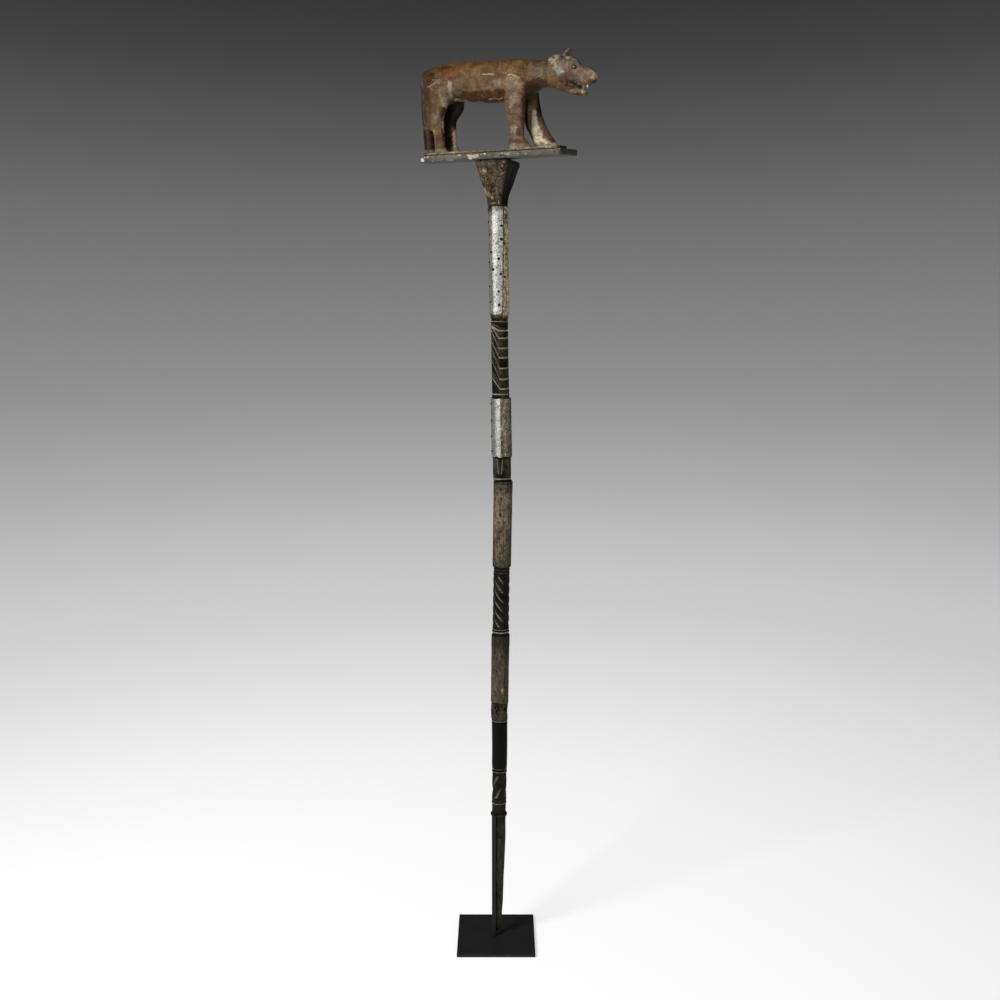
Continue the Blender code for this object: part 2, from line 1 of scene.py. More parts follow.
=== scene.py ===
"""Looks of a linguist staff: carved shaft, foil sleeves, capital, plank and leopard.

The file is laid out as an add-on: the panel in the sidebar lists one operator for each
piece or group of like pieces, and main() calls them in order.  Sizes are in metres, and
in millimetres where a comment says so.
"""
import math

import bmesh
import bpy
import numpy as np
from bpy.props import FloatProperty, FloatVectorProperty, IntProperty, PointerProperty
from mathutils import Matrix, Vector


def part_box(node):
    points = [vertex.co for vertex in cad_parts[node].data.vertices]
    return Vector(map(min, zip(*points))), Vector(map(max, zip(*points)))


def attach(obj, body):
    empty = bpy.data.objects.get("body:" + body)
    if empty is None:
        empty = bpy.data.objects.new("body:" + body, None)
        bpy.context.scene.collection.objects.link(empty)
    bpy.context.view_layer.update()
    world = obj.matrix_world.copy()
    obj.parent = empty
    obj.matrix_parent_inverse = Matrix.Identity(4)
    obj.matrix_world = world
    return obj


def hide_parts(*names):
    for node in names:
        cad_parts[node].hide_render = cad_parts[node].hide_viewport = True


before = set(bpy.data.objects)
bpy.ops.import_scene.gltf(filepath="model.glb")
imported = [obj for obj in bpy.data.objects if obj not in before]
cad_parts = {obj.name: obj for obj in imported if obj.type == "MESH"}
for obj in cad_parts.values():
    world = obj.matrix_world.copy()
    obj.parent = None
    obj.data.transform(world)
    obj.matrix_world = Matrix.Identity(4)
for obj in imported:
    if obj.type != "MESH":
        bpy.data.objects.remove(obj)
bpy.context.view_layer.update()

bl_info = {
    "name": "Linguist Staff",
    "version": (1, 0, 0),
    "blender": (4, 5, 0),
    "location": "View3D > Sidebar > Staff",
    "description": "Builds the carved and foil-wrapped surfaces of a linguist staff",
    "category": "Object",
}

BODY = "root"
MM = 1000.0                     # millimetres in a metre
TURN = 2.0 * math.pi
FRONT = math.radians(-90.0)     # the angle round the shaft that faces the front


# ---------------------------------------------------------------- settings
def a_size(name, description, default):
    return FloatProperty(name=name, description=description, default=default, unit="LENGTH",
                         precision=5)


def an_angle(name, description, degrees):
    return FloatProperty(name=name, description=description, default=math.radians(degrees),
                         subtype="ANGLE")


def a_count(name, description, default):
    return IntProperty(name=name, description=description, default=default)


def a_colour(name, description, *default):
    return FloatVectorProperty(name=name, description=description, default=default,
                               subtype="COLOR", size=3, min=0.0, max=1.0)


class AnimalSettings(bpy.types.PropertyGroup):
    yaw: an_angle("Yaw", "How far the leopard is turned towards the front", -20.0)
    tilt: an_angle("Tilt", "How far the plank leans, its far edge up", 5.5)
    roll: an_angle("Roll", "How far the head end is raised", 0.4)
    voxel: a_size("Detail", "Size of the smallest carved form", 0.0012)
    eye_radius: a_size("Eye radius", "Half the length of an eye", 0.0042)
    coat: a_colour("Coat", "Tan brown of the flanks", 0.130, 0.080, 0.036)
    saddle: a_colour("Saddle", "Brown of the back", 0.121, 0.061, 0.019)
    orange: a_colour("Orange", "Strong orange in the saddle", 0.140, 0.042, 0.008)
    ochre: a_colour("Ochre", "Yellow brown patches", 0.172, 0.092, 0.030)
    pink: a_colour("Pink", "Pinkish tan of the legs and cheeks", 0.205, 0.132, 0.088)
    pale: a_colour("Pale", "Cream where the ground shows", 0.420, 0.345, 0.240)
    brown: a_colour("Brown", "Dark brown of the belly", 0.048, 0.019, 0.0035)
    maroon: a_colour("Maroon", "Red brown in the shaded parts", 0.060, 0.022, 0.012)
    olive: a_colour("Olive", "Green brown patches", 0.070, 0.050, 0.019)
    slate: a_colour("Slate", "Bluish grey patches", 0.145, 0.122, 0.100)
    # Chalk: a painted highlight on the cheek, and bluish white on the far shin.
    chalk: a_colour("Chalk", "Bluish white on the far shin and the cheek", 0.300, 0.320, 0.320)
    black: a_colour("Black", "Near black of the shaded legs", 0.009, 0.007, 0.005)


class PlankSettings(bpy.types.PropertyGroup):
    thickness: a_size("Thickness", "Thickness of the plank", 0.0110)
    width: a_size("Width", "Width of the plank", 0.0870)
    paint: a_colour("Paint", "Grey green paint left on the plank", 0.086, 0.080, 0.065)
    bare: a_colour("Bare wood", "Pale chips along the edges", 0.56, 0.50, 0.39)


class CapitalSettings(bpy.types.PropertyGroup):
    half: a_size("Half width", "Half the side of the square top", 0.0316)
    neck: a_size("Neck radius", "Radius where it meets the sleeve", 0.0180)
    band: a_size("Band", "Height of the plain band at the top", 0.0095)
    rib: a_size("Rib depth", "Depth of the grooves between the ribs", 0.0036)
    wood: a_colour("Wood", "Dark brown of the capital", 0.060, 0.042, 0.026)
    gilt: a_colour("Gilt", "Worn pale gold on the ridges", 0.42, 0.34, 0.20)


class ShaftSettings(bpy.types.PropertyGroup):
    sides: a_count("Facets", "Facets round the shaft", 144)
    ladder_depth: a_size("Notch depth", "Depth of the ladder notches", 0.0017)
    twist_strands: a_count("Strands", "Strands of the long twist", 6)
    twist_lead: a_size("Twist lead", "Height of one turn of the long twist", 0.1120)
    twist_depth: a_size("Twist depth", "Depth between the strands", 0.0018)
    reverse_strands: a_count("Reverse strands", "Strands of the short twist", 4)
    reverse_lead: a_size("Reverse lead", "Height of one turn of the short twist", 0.1500)
    reverse_depth: a_size("Reverse depth", "Depth between the short strands", 0.0015)
    black: a_colour("Black", "Blackened wood", 0.0042, 0.0038, 0.0030)
    # Dust: pale dust, and on the twists painted highlight on the lit side.
    dust: a_colour("Dust", "Pale dust in the grooves", 0.33, 0.30, 0.25)


class FoilSettings(bpy.types.PropertyGroup):
    thickness: a_size("Thickness", "Thickness of the foil", 0.0005)
    nail_radius: a_size("Nail radius", "Radius of a nail head", 0.0026)
    silver: a_colour("Silver", "Clean foil", 0.70, 0.69, 0.65)
    tarnish: a_colour("Tarnish", "Brown tarnish", 0.110, 0.086, 0.056)
    nail: a_colour("Nail", "Dark nail heads", 0.016, 0.012, 0.009)


class StandSettings(bpy.types.PropertyGroup):
    steel: a_colour("Steel", "Satin black steel", 0.0240, 0.0240, 0.0245)
    wood: a_colour("Foot wood", "Rough wood of the foot", 0.0165, 0.0165, 0.0140)


class StageSettings(bpy.types.PropertyGroup):
    floor: a_colour("Floor", "Pale floor", 0.84, 0.84, 0.84)
    middle: a_colour("Middle", "Floor where the backdrop starts", 0.62, 0.62, 0.62)
    wall: a_colour("Wall", "Top of the backdrop", 0.032, 0.032, 0.032)
    # The floor and backdrop glow with their own colour: painted light.
    glow: FloatProperty(name="Floor glow", description="Light that the pale floor gives back",
                        default=0.70)
    near: a_size("Pale reach", "Distance where the floor starts to darken", 0.4)
    far: a_size("Dark reach", "Distance where the backdrop is darkest", 5.15)
    key_power: FloatProperty(name="Key light", description="Power of the key light",
                             default=80.0, unit="POWER")
    lens: FloatProperty(name="Lens", description="Focal length in millimetres", default=41.4)


def settings(group):
    return getattr(bpy.context.scene, "staff_" + group)


# ---------------------------------------------------------------- numbers and meshes
def fade(value, low=0.0, high=1.0):
    """0 at low and 1 at high, smooth between; low may be the larger."""
    share = np.clip((np.asarray(value, float) - low) / (high - low), 0.0, 1.0)
    return share * share * (3.0 - 2.0 * share)


def hill(value, centre, half):
    """A soft hill of height 1 round a centre."""
    return np.exp(-((np.asarray(value) - centre) / half) ** 2)


def along(table, places):
    """Read a list of (place, value) at an array of places."""
    at, values = zip(*sorted(table))
    return np.interp(places, at, values)


def from_front(around):
    """An angle round the shaft, from the front: negative to the left, positive to the right."""
    return (around - FRONT + math.pi) % TURN - math.pi


def soft_noise(points, cell, seed=0):
    """Smooth noise between -1 and 1 at each point."""
    place = np.asarray(points, float) / cell
    corner = np.floor(place).astype(np.int64)
    part = place - corner
    part = part * part * (3.0 - 2.0 * part)
    total = np.zeros(len(place))
    for step in np.ndindex(2, 2, 2):
        x, y, z = (corner + np.array(step)).T
        key = (x * 73856093) ^ (y * 19349663) ^ (z * 83492791) ^ (seed * 83492791 + 17)
        key = ((key ^ (key >> 13)) * 1274126177) & 0x7FFFFFFF
        value = (key ^ (key >> 15)) & 0xFFFF
        weight = np.prod(np.where(np.array(step) == 1, part, 1.0 - part), axis=1)
        total += weight * value / 32767.5
    return total - 1.0


def grain(points, cell, seed=0, stretch=1.0):
    """Two octaves of noise, drawn out along the shaft by stretch."""
    squeezed = np.asarray(points) * np.array([1.0, 1.0, 1.0 / stretch])
    fine = soft_noise(squeezed, cell * 0.45, seed + 5)
    return 0.65 * soft_noise(squeezed, cell, seed) + 0.35 * fine


def ring_grain(around, height, radius, *noise):
    """The same noise on rings of points round the shaft."""
    points = np.stack([radius * np.cos(around), radius * np.sin(around), height], -1)
    return grain(points.reshape(-1, 3), *noise).reshape(around.shape)


def link(name, mesh):
    piece = bpy.data.objects.new(name, mesh)
    bpy.context.scene.collection.objects.link(piece)
    return piece


def mesh_of(name, bm):
    mesh = bpy.data.meshes.new(name)
    bm.to_mesh(mesh)
    bm.free()
    return mesh


def add_mark(mesh, name, values):
    """Lay a number or a colour on each point."""
    if values.ndim == 1:
        layer, key = mesh.attributes.new(name, "FLOAT", "POINT"), "value"
    else:
        layer, key = mesh.attributes.new(name, "FLOAT_COLOR", "POINT"), "color"
        values = np.concatenate([values, np.ones((len(values), 1))], axis=1)
    layer.data.foreach_set(key, values.astype(np.float32).ravel())


def read_vectors(items, key):
    flat = np.empty(len(items) * 3, np.float32)
    items.foreach_get(key, flat)
    return flat.reshape(-1, 3).astype(float)


def points_and_normals(mesh):
    return read_vectors(mesh.vertices, "co"), read_vectors(mesh.vertex_normals, "vector")


def write_points(mesh, points):
    mesh.vertices.foreach_set("co", points.astype(np.float32).ravel())
    mesh.update()


def plain_mesh(piece):
    """Replace a piece's live modifiers by the mesh that they make."""
    graph = bpy.context.evaluated_depsgraph_get()
    made = bpy.data.meshes.new_from_object(piece.evaluated_get(graph))
    piece.modifiers.clear()
    old = piece.data
    piece.data = made
    bpy.data.meshes.remove(old)
    made.name = piece.name


def one_body(name, bm, voxel, rounds):
    """Make overlapping forms one closed body of small faces, softened for some rounds."""
    piece = link(name, mesh_of(name, bm))
    remesh = piece.modifiers.new("one_body", "REMESH")
    remesh.mode = "VOXEL"
    remesh.voxel_size = voxel
    soften = piece.modifiers.new("soften", "SMOOTH")
    soften.factor = 0.5
    soften.iterations = rounds
    plain_mesh(piece)
    return piece


def finish_piece(piece, finish, slot_name, *nodes, sharp=60.0):
    """Give a finished piece its material and its place in the frame."""
    mesh = piece.data
    mesh.materials.clear()
    mesh.materials.append(finish)
    mesh.shade_smooth()
    mesh.set_sharp_from_angle(angle=math.radians(sharp))
    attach(piece, BODY)
    if nodes:
        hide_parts(*nodes)


def grid_mesh(name, points, closed):
    """Skin rows of points that run bottom to top and anticlockwise from above."""
    rows, sides, _ = points.shape
    flat = [tuple(point) for point in points.reshape(-1, 3)]
    pairs = list(enumerate([*range(1, sides), 0]))
    last = (rows - 1) * sides
    faces = [(base + i, base + j, base + sides + j, base + sides + i)
             for base in range(0, last, sides) for i, j in pairs]
    if closed:
        faces += [(j, i, len(flat)) for i, j in pairs]
        faces += [(last + i, last + j, len(flat) + 1) for i, j in pairs]
        flat += [tuple(points[row].mean(axis=0)) for row in (0, -1)]
    mesh = bpy.data.meshes.new(name)
    mesh.from_pydata(flat, [], faces)
    mesh.update()
    return mesh


def turned_piece(name, line, heights, sides, radius_at, rise_at=None, closed=True, y=0.0):
    """A piece of rings round a centre line, a list of (height, x).

    radius_at gives the radius and the marks at each angle and height, and rise_at how far
    a point is raised.
    """
    angles = np.linspace(0.0, TURN, sides, endpoint=False)
    height, around = np.meshgrid(heights, angles, indexing="ij")
    radius, marks = radius_at(around, height)
    z = height + rise_at(around, height, radius) if rise_at else height
    x = along(line, height) + radius * np.cos(around)
    mesh = grid_mesh(name, np.stack([x, radius * np.sin(around) + y, z], axis=-1), closed)
    for key, values in marks.items():
        flat = values.reshape(-1, *values.shape[2:])
        if closed:      # one value more for the middle of each end
            flat = np.concatenate([flat, [values[0].mean(axis=0), values[-1].mean(axis=0)]])
        add_mark(mesh, key, flat)
    return link(name, mesh)


# ---------------------------------------------------------------- node helpers
class Nodes:
    """Builds a node tree from short calls; an input is a number, a colour or a socket."""

    def __init__(self, tree):
        self.tree = tree

    def put(self, socket, value):
        if isinstance(value, bpy.types.NodeSocket):
            self.tree.links.new(value, socket)
        elif socket.type == "RGBA":
            socket.default_value = (*value, 1.0)[:4]
        else:
            socket.default_value = value

    def add(self, kind, inputs=None, output=0, **properties):
        """A new node with its properties and inputs; returns one of its outputs."""
        node = self.tree.nodes.new(kind)
        for key, value in properties.items():
            setattr(node, key, value)
        for key, value in (inputs or {}).items():
            self.put(node.inputs[key], value)
        return node.outputs[output]

    def math(self, operation, *values, clamp=False):
        return self.add("ShaderNodeMath", dict(enumerate(values)), operation=operation,
                        use_clamp=clamp)

    def times(self, first, second):
        return self.math("MULTIPLY", first, second)


class Finish(Nodes):
    """Builds one procedural material."""

    def __init__(self, name, roughness=0.6, metallic=0.0, specular=0.2):
        self.material = bpy.data.materials.new(name)
        self.material.use_nodes = True
        super().__init__(self.material.node_tree)
        self.shader = self.tree.nodes["Principled BSDF"].inputs
        self.shader["Roughness"].default_value = roughness
        self.shader["Metallic"].default_value = metallic
        self.shader["Specular IOR Level"].default_value = specular
        self.place = self.add("ShaderNodeTexCoord", output="Object")

    def noise(self, scale, detail, roughness, distortion=0.0, stretch=None, turn=0.0):
        vector = self.place
        if stretch:
            vector = self.add("ShaderNodeMapping", {
                "Scale": stretch, "Rotation": (0.0, 0.0, turn), "Vector": vector}, "Vector")
        return self.add("ShaderNodeTexNoise", {
            "Vector": vector, "Scale": scale, "Detail": detail, "Roughness": roughness,
            "Distortion": distortion}, "Fac")

    def mark(self, name, output="Fac"):
        return self.add("ShaderNodeAttribute", output=output, attribute_name=name)

    def ramp(self, amount, low, high):
        """0 under low, 1 over high, smooth between; turned round when low is over high."""
        return self.add("ShaderNodeMapRange", {
            "Value": amount, "From Min": min(low, high), "From Max": max(low, high),
            "To Min": float(low > high), "To Max": float(low < high)}, "Result",
            interpolation_type="SMOOTHSTEP")

    def between(self, amount, low, high):
        """A number that goes from low to high with amount."""
        return self.add("ShaderNodeMapRange", {"Value": amount, "To Min": low, "To Max": high},
                        "Result")

    def mix(self, amount, first, second, blend="MIX"):
        return self.add("ShaderNodeMix", {"Factor": amount, "A": first, "B": second}, "Result",
                        data_type="RGBA", blend_type=blend)

    def stain(self, colour, other, pattern, low, high, strength=None):
        """Lay another colour where a pattern goes from low to high."""
        amount = self.ramp(pattern, low, high)
        if strength is not None:
            amount = self.times(amount, strength)
        return self.mix(amount, colour, other)

    def tone(self, colour, pattern, low, high, dark, light):
        """Darken a colour where a pattern is under low and brighten it over high."""
        return self.mix(1.0, colour, self.stain(dark, light, pattern, low, high), "MULTIPLY")

    def roughened(self, value, pattern, strength):
        """A value whose edge a pattern breaks up."""
        spread = self.times(self.math("SUBTRACT", pattern, 0.5, clamp=True), strength)
        return self.math("ADD", value, spread, clamp=True)

    def relief(self, *layers):
        """Bumps over one another, each a pattern and its depth."""
        below = {}
        for pattern, depth in layers:
            inputs = {"Distance": depth, "Height": pattern, **below}
            below = {"Normal": self.add("ShaderNodeBump", inputs, "Normal")}
        return below["Normal"]

    def done(self, colour, roughness=None, normal=None, metallic=None):
        self.put(self.shader["Base Color"], colour)
        for key, value in (("Roughness", roughness), ("Normal", normal), ("Metallic", metallic)):
            if value is not None:
                self.put(self.shader[key], value)
        return self.material


class GeometryTree(Nodes):
    """A geometry nodes tree with named numbers, ending in plain faces of one material."""

    def __init__(self, name, **numbers):
        super().__init__(bpy.data.node_groups.new(name, "GeometryNodeTree"))
        self.socket("Geometry", "INPUT", "NodeSocketGeometry")
        for label, default in numbers.items():
            kind = "NodeSocketInt" if isinstance(default, int) else "NodeSocketFloat"
            self.socket(label, "INPUT", kind).default_value = default
        self.socket("Geometry", "OUTPUT", "NodeSocketGeometry")
        self.source = self.tree.nodes.new("NodeGroupInput").outputs

    def socket(self, name, way, kind):
        return self.tree.interface.new_socket(name=name, in_out=way, socket_type=kind)

    def end(self, geometry, material):
        real = self.add("GeometryNodeRealizeInstances", {0: geometry})
        dressed = self.add("GeometryNodeSetMaterial", {"Geometry": real, "Material": material})
        self.put(self.tree.nodes.new("NodeGroupOutput").inputs[0], dressed)
        return self.tree


def add_tree(piece, tree, name, **values):
    """Put a geometry nodes modifier on a piece and set its inputs by their identifiers."""
    modifier = piece.modifiers.new(name, "NODES")
    modifier.node_group = tree
    for item in tree.interface.items_tree:
        if item.item_type == "SOCKET" and item.in_out == "INPUT" and item.name in values:
            modifier[item.identifier] = values[item.name]


# ---------------------------------------------------------------- finishes
def shade(colour, factor):
    return [channel * factor for channel in colour]


def leopard_finish(own):
    """Old glossy paint over a pale ground, with the dabs that the carver laid on the points."""
    make = Finish("leopard_paint", 0.45, specular=0.12)
    patches = make.noise(75, 5, 0.62, 0.5)
    flecks = make.noise(330, 4, 0.7, 0.3)
    streaks = make.noise(95, 5, 0.65, 0.2, stretch=(0.45, 1.0, 1.9))
    colour = make.tone(make.mark("laid_colour", "Color"), patches, 0.30, 0.70,
                       (0.62, 0.58, 0.54), (1.34, 1.34, 1.32))
    colour = make.tone(colour, flecks, 0.30, 0.70, (0.70, 0.66, 0.62), (1.28, 1.28, 1.28))
    colour = make.stain(colour, own.maroon, streaks, 0.54, 0.70, 0.55)
    rubbed = make.times(make.ramp(streaks, 0.40, 0.28), make.ramp(flecks, 0.48, 0.62))
    colour = make.mix(make.times(rubbed, make.mark("wear")), colour, own.pale)
    # Painted shadow: near black in the nostrils, the ear's hollow and the mouth's far corner.
    colour = make.mix(make.mark("void"), colour, (0.006, 0.005, 0.004))
    normal = make.relief((flecks, 0.0005), (streaks, 0.0012), (patches, 0.0016))
    return make.done(colour, make.between(flecks, 0.30, 0.56), normal)


def plank_finish(own):
    """Grey green weathered paint with pale chips, and painted shade along the lower half, on the
    head end and underneath.
    """
    make = Finish("plank_paint", 0.72, specular=0.15)
    yaw = settings("animal").yaw
    lines = make.noise(90, 5, 0.6, 0.2, stretch=(0.12, 1.0, 1.6), turn=-yaw)
    stains = make.noise(110, 5, 0.65)
    flecks = make.noise(420, 3, 0.7)
    colour = make.stain(own.paint, shade(own.paint, 1.7), lines, 0.35, 0.65)
    colour = make.stain(colour, (0.038, 0.037, 0.024), stains, 0.52, 0.70)
    # Painted shade from the dark mark.
    colour = make.mix(make.times(make.mark("dark"), 0.9), colour, (0.044, 0.044, 0.036))
    colour = make.stain(colour, (0.20, 0.17, 0.12), flecks, 0.60, 0.70, 0.5)
    chipped = make.roughened(make.mark("wear"), flecks, 0.9)
    bare = make.stain(own.bare, shade(own.bare, 0.5), lines, 0.42, 0.60)
    colour = make.stain(colour, bare, chipped, 0.52, 0.62)
    normal = make.relief((lines, 0.0007), (flecks, 0.0003))
    return make.done(colour, make.between(stains, 0.6, 0.85), normal)


def capital_finish(own):
    """Dark brown wood that keeps only flecks of its gilding, in lines down the edges."""
    make = Finish("capital_wood", 0.6, specular=0.12)
    mottle = make.noise(80, 5, 0.6, 0.3)
    flecks = make.noise(400, 3, 0.7)
    threads = make.noise(210, 4, 0.65, stretch=(0.45, 0.45, 2.2))
    lines = make.noise(230, 3, 0.6, stretch=(1.6, 1.6, 0.16))
    colour = make.tone(make.mark("laid_colour", "Color"), mottle, 0.34, 0.66,
                       (0.60, 0.56, 0.50), (1.34, 1.32, 1.26))
    colour = make.tone(colour, flecks, 0.34, 0.66, (0.62, 0.60, 0.56), (1.40, 1.40, 1.38))
    colour = make.stain(colour, (0.020, 0.013, 0.008), threads, 0.52, 0.62, 0.6)
    colour = make.stain(colour, (0.012, 0.008, 0.005), lines, 0.50, 0.60, 0.7)
    # Painted shade darkens the grooves between the ribs.
    colour = make.mix(make.times(make.mark("groove"), 0.5), colour, (0.014, 0.007, 0.004))
    colour = make.stain(colour, own.gilt, flecks, 0.58, 0.66, make.mark("gilt"))
    normal = make.relief((threads, 0.0012), (flecks, 0.0004))
    return make.done(colour, make.between(mottle, 0.5, 0.75), normal)


def shaft_finish(own, name, brown):
    """Blackened wood, brown where it is rubbed, with pale dust lying in the cuts; on the twists it
    lies only on the lit side, as painted highlight.
    """
    make = Finish(name, 0.5, specular=0.06)
    wood = settings("stand").wood
    mottle = make.noise(55, 4, 0.6, 0.2)
    lines = make.noise(140, 4, 0.65, stretch=(1.8, 1.8, 0.22))
    flecks = make.noise(420, 3, 0.7)
    colour = make.stain(own.black, brown, mottle, 0.36, 0.62, make.mark("rubbed"))
    colour = make.stain(colour, shade(own.black, 0.5), lines, 0.55, 0.75)
    settled = make.stain(shade(own.dust, 0.55), own.dust, flecks, 0.40, 0.60)
    dusty = make.roughened(make.mark("dust"), flecks, 0.6)
    colour = make.stain(colour, settled, dusty, 0.40, 0.80)
    foot = make.stain(wood, shade(wood, 3.0), lines, 0.35, 0.7)
    foot = make.stain(foot, (0.007, 0.007, 0.005), mottle, 0.50, 0.65)
    foot = make.stain(foot, (0.055, 0.062, 0.034), flecks, 0.48, 0.60, make.mark("torn"))
    colour = make.mix(make.mark("foot"), colour, foot)
    normal = make.relief((lines, 0.0009), (flecks, 0.0003))
    return make.done(colour, make.between(mottle, 0.48, 0.72), normal)


def foil_finish(own, name, specks, spotted, dark, fleck, *casts):
    """Beaten foil: bright and speckled where it is clean, brown and dull where it has tarnished.

    specks and spotted say how strong the dark marks are on the clean and on the tarnished
    foil, casts the two tints between which the tarnish wanders.
    """
    make = Finish(name, 0.4, 0.8, 0.15)
    clouds = make.noise(48, 5, 0.62, 0.5)
    flecks = make.noise(300, 4, 0.7)
    spots = make.noise(190, 4, 0.72, 0.4)
    runs = make.noise(110, 4, 0.6, stretch=(1.5, 1.5, 0.3))
    streaks = make.noise(260, 4, 0.7, stretch=(1.8, 1.8, 0.30))
    amount = make.roughened(make.mark("tarnish"), clouds, 0.9)
    amount = make.ramp(make.roughened(amount, flecks, 0.8), 0.30, 0.80)
    dull = make.stain(own.tarnish, shade(own.tarnish, 2.2), runs, 0.35, 0.65)
    dull = make.stain(dull, dark, streaks, 0.46, 0.60, spotted)
    dull = make.stain(dull, dark, spots, 0.49, 0.58, spotted)
    dull = make.stain(dull, fleck, flecks, 0.56, 0.66, 0.7)
    dull = make.tone(dull, make.noise(52, 3, 0.5), 0.36, 0.64, *casts)
    bright = make.stain(own.silver, shade(own.silver, 0.72), clouds, 0.3, 0.7)
    bright = make.stain(bright, (0.26, 0.235, 0.19), spots, 0.53, 0.63, specks)
    pits = make.noise(470, 2, 0.6)
    bright = make.stain(bright, (0.06, 0.05, 0.035), pits, 0.54, 0.62, specks)
    # The shade mark multiplies the colour: painted light and shade round each sleeve.
    grey = make.add("ShaderNodeCombineColor", dict.fromkeys(range(3), make.mark("shade")))
    colour = make.mix(1.0, make.mix(amount, bright, dull), grey, "MULTIPLY")
    colour = make.mix(make.mark("stain"), colour, (0.016, 0.011, 0.007))
    normal = make.relief((clouds, 0.0009), (spots, 0.0008), (flecks, 0.0003))
    return make.done(colour, make.between(amount, 0.42, 0.66), normal,
                     make.between(amount, 0.45, 0.20))


def steel_finish(own):
    """Satin black paint on steel with faint brushed wear."""
    make = Finish("stand_steel", 0.5, specular=0.05)
    clouds = make.noise(25, 4, 0.6)
    scratches = make.noise(90, 3, 0.6, stretch=(0.25, 3.0, 3.0))
    colour = make.stain(own.steel, (0.014, 0.014, 0.0143), clouds, 0.35, 0.7, 0.3)
    colour = make.stain(colour, (0.022, 0.022, 0.023), scratches, 0.66, 0.74)
    return make.done(colour, make.between(clouds, 0.45, 0.60), make.relief((scratches, 0.00015)))


def plain_finish(name, colour, roughness):
    """A small piece's finish: one colour with fine mottling."""
    make = Finish(name, roughness)
    flecks = make.noise(300, 3, 0.6)
    mottled = make.stain(colour, shade(colour, 1.35), flecks, 0.4, 0.65)
    gloss = make.between(flecks, roughness * 0.8, roughness * 1.2)
    return make.done(mottled, gloss, make.relief((flecks, 0.0001)))


# ---------------------------------------------------------------- the leopard
# Sections in millimetres.  Heights are above the plank's underside, lengths run from the
# tail (-) to the nose (+).  Those that stand across a form: along, low, high, half width.
TRUNK = [
    (-139, 118, 148, 9), (-135, 102, 157.5, 15), (-120, 94, 162.5, 19), (-98, 97, 167.5, 20.5),
    (-70, 102, 169, 20.5), (-25, 97, 168, 21), (20, 95, 167, 21.5), (50, 97, 165.5, 21.5),
    (72, 105, 163, 19), (90, 113.5, 160.5, 16.5), (106, 114, 162, 16.5), (122, 113, 165.5, 17.5),
    (136, 119, 164, 17), (148, 120, 161, 15), (158, 116, 155.5, 13), (169, 112, 146, 11.8),
    (180, 114, 139, 11), (186, 119.5, 134.5, 8.5),
]
JAW = [
    (106, 113.5, 132, 12.2), (121, 107.2, 126, 13), (137, 101.5, 117.2, 12), (148, 98.6, 112, 10.5),
    (156, 97.1, 109.4, 9.5), (163, 96.5, 107.5, 8.5), (169, 97, 103, 6),
]
MOUTH = [
    (134, 112, 124, 4), (148, 109, 123, 4), (158, 106, 120, 3.8), (165.5, 105, 116, 3.2),
]
NEAR_EAR = [
    (103.5, 156.5, 159.5, 2.2), (108, 154.5, 164, 4), (116, 153.8, 166.8, 4.8),
    (123, 156, 166.8, 4.2), (128, 160.5, 166, 2.2),
]
# those that lie level: height, back, front, half width
NEAR_HIND = [
    (150, -120, -82, 5.5), (131, -128, -76.5, 8.5), (114, -130.5, -80, 8.8),
    (98, -133.5, -85.5, 8.4), (86, -134.2, -90.5, 8), (74, -134.2, -94.5, 7.5),
    (65, -132.5, -95.2, 7.1), (57, -123.5, -95.3, 6.7), (49, -116.5, -95.3, 6.6),
    (27, -115.5, -95, 6.6), (19, -116, -89.5, 7.2), (13, -116.5, -87, 7.6),
]
FAR_HIND = [
    (150, -108, -74, 5.5), (131, -116, -63, 8.5), (110, -112, -63, 8.5), (98, -110, -64.5, 8.2),
    (87, -108.5, -66.7, 8), (76, -108, -76, 7.6), (68, -108, -81.2, 7), (48, -108, -82.5, 6.6),
    (30, -107.5, -82, 6.6), (19, -107.5, -76, 7.2), (13, -107.5, -73, 7.6),
]
NEAR_FORE = [
    (150, 28, 52, 5.5), (128, 16.5, 62.5, 9), (106, 19, 61.8, 9.5), (88, 22, 61.2, 9),
    (70, 25.2, 59, 8), (52, 28.3, 57, 7.2), (36, 28.5, 56, 7.2), (26, 26.5, 63, 7.8),
    (19, 25.2, 69, 8.2), (13, 24.5, 72, 8.5),
]
FAR_FORE = [
    (150, 38, 62, 5.5), (128, 34, 75.5, 9), (108, 42, 77.2, 9.5), (84, 48.5, 79.8, 9),
    (62, 49.2, 85.5, 8), (49, 53, 91.6, 7.4), (36, 59.8, 98.2, 7.2), (26, 64.5, 105.8, 7.8),
    (19, 67, 109.4, 8.2), (13, 67.5, 111, 8.4),
]
TAIL = [
    (157, -136, -122, 6), (148, -141, -129, 5.6), (120, -142.5, -131, 5.2), (90, -143.3, -131, 5.4),
    (74, -142.8, -128.5, 5.8), (60, -142, -120, 7), (30, -141.2, -119, 8), (13, -141, -120, 8.4),
]
FAR_EAR = [
    (158, 117, 133, 3.6), (167.5, 121.8, 135, 3.6), (172.5, 126.8, 138.5, 3.2),
    (176.5, 132.2, 140.3, 2.6), (178.8, 135.5, 139.2, 1.8),
]
LEGS = ((-1.0, NEAR_HIND, NEAR_FORE), (1.0, FAR_HIND, FAR_FORE))
LIMB_OUT, EAR_OUT = 12.5, 13.0      # from the body's middle out to the legs' and the ears'
# the rest of the leopard's sizes are in metres
SLAB_BACK, SLAB_FRONT = -0.1425, 0.1245
SLAB_HALF_WIDTH, SLAB_THICK, SLAB_ROUND = 0.0200, 0.0056, 0.0085
EYE_PLACE = (0.1500, 0.0138, 0.1440)
CLEARANCE = 0.0004                  # between the capital's top edge and the plank
START_WEAR = 0.45                   # how worn the coat is where nothing else is said


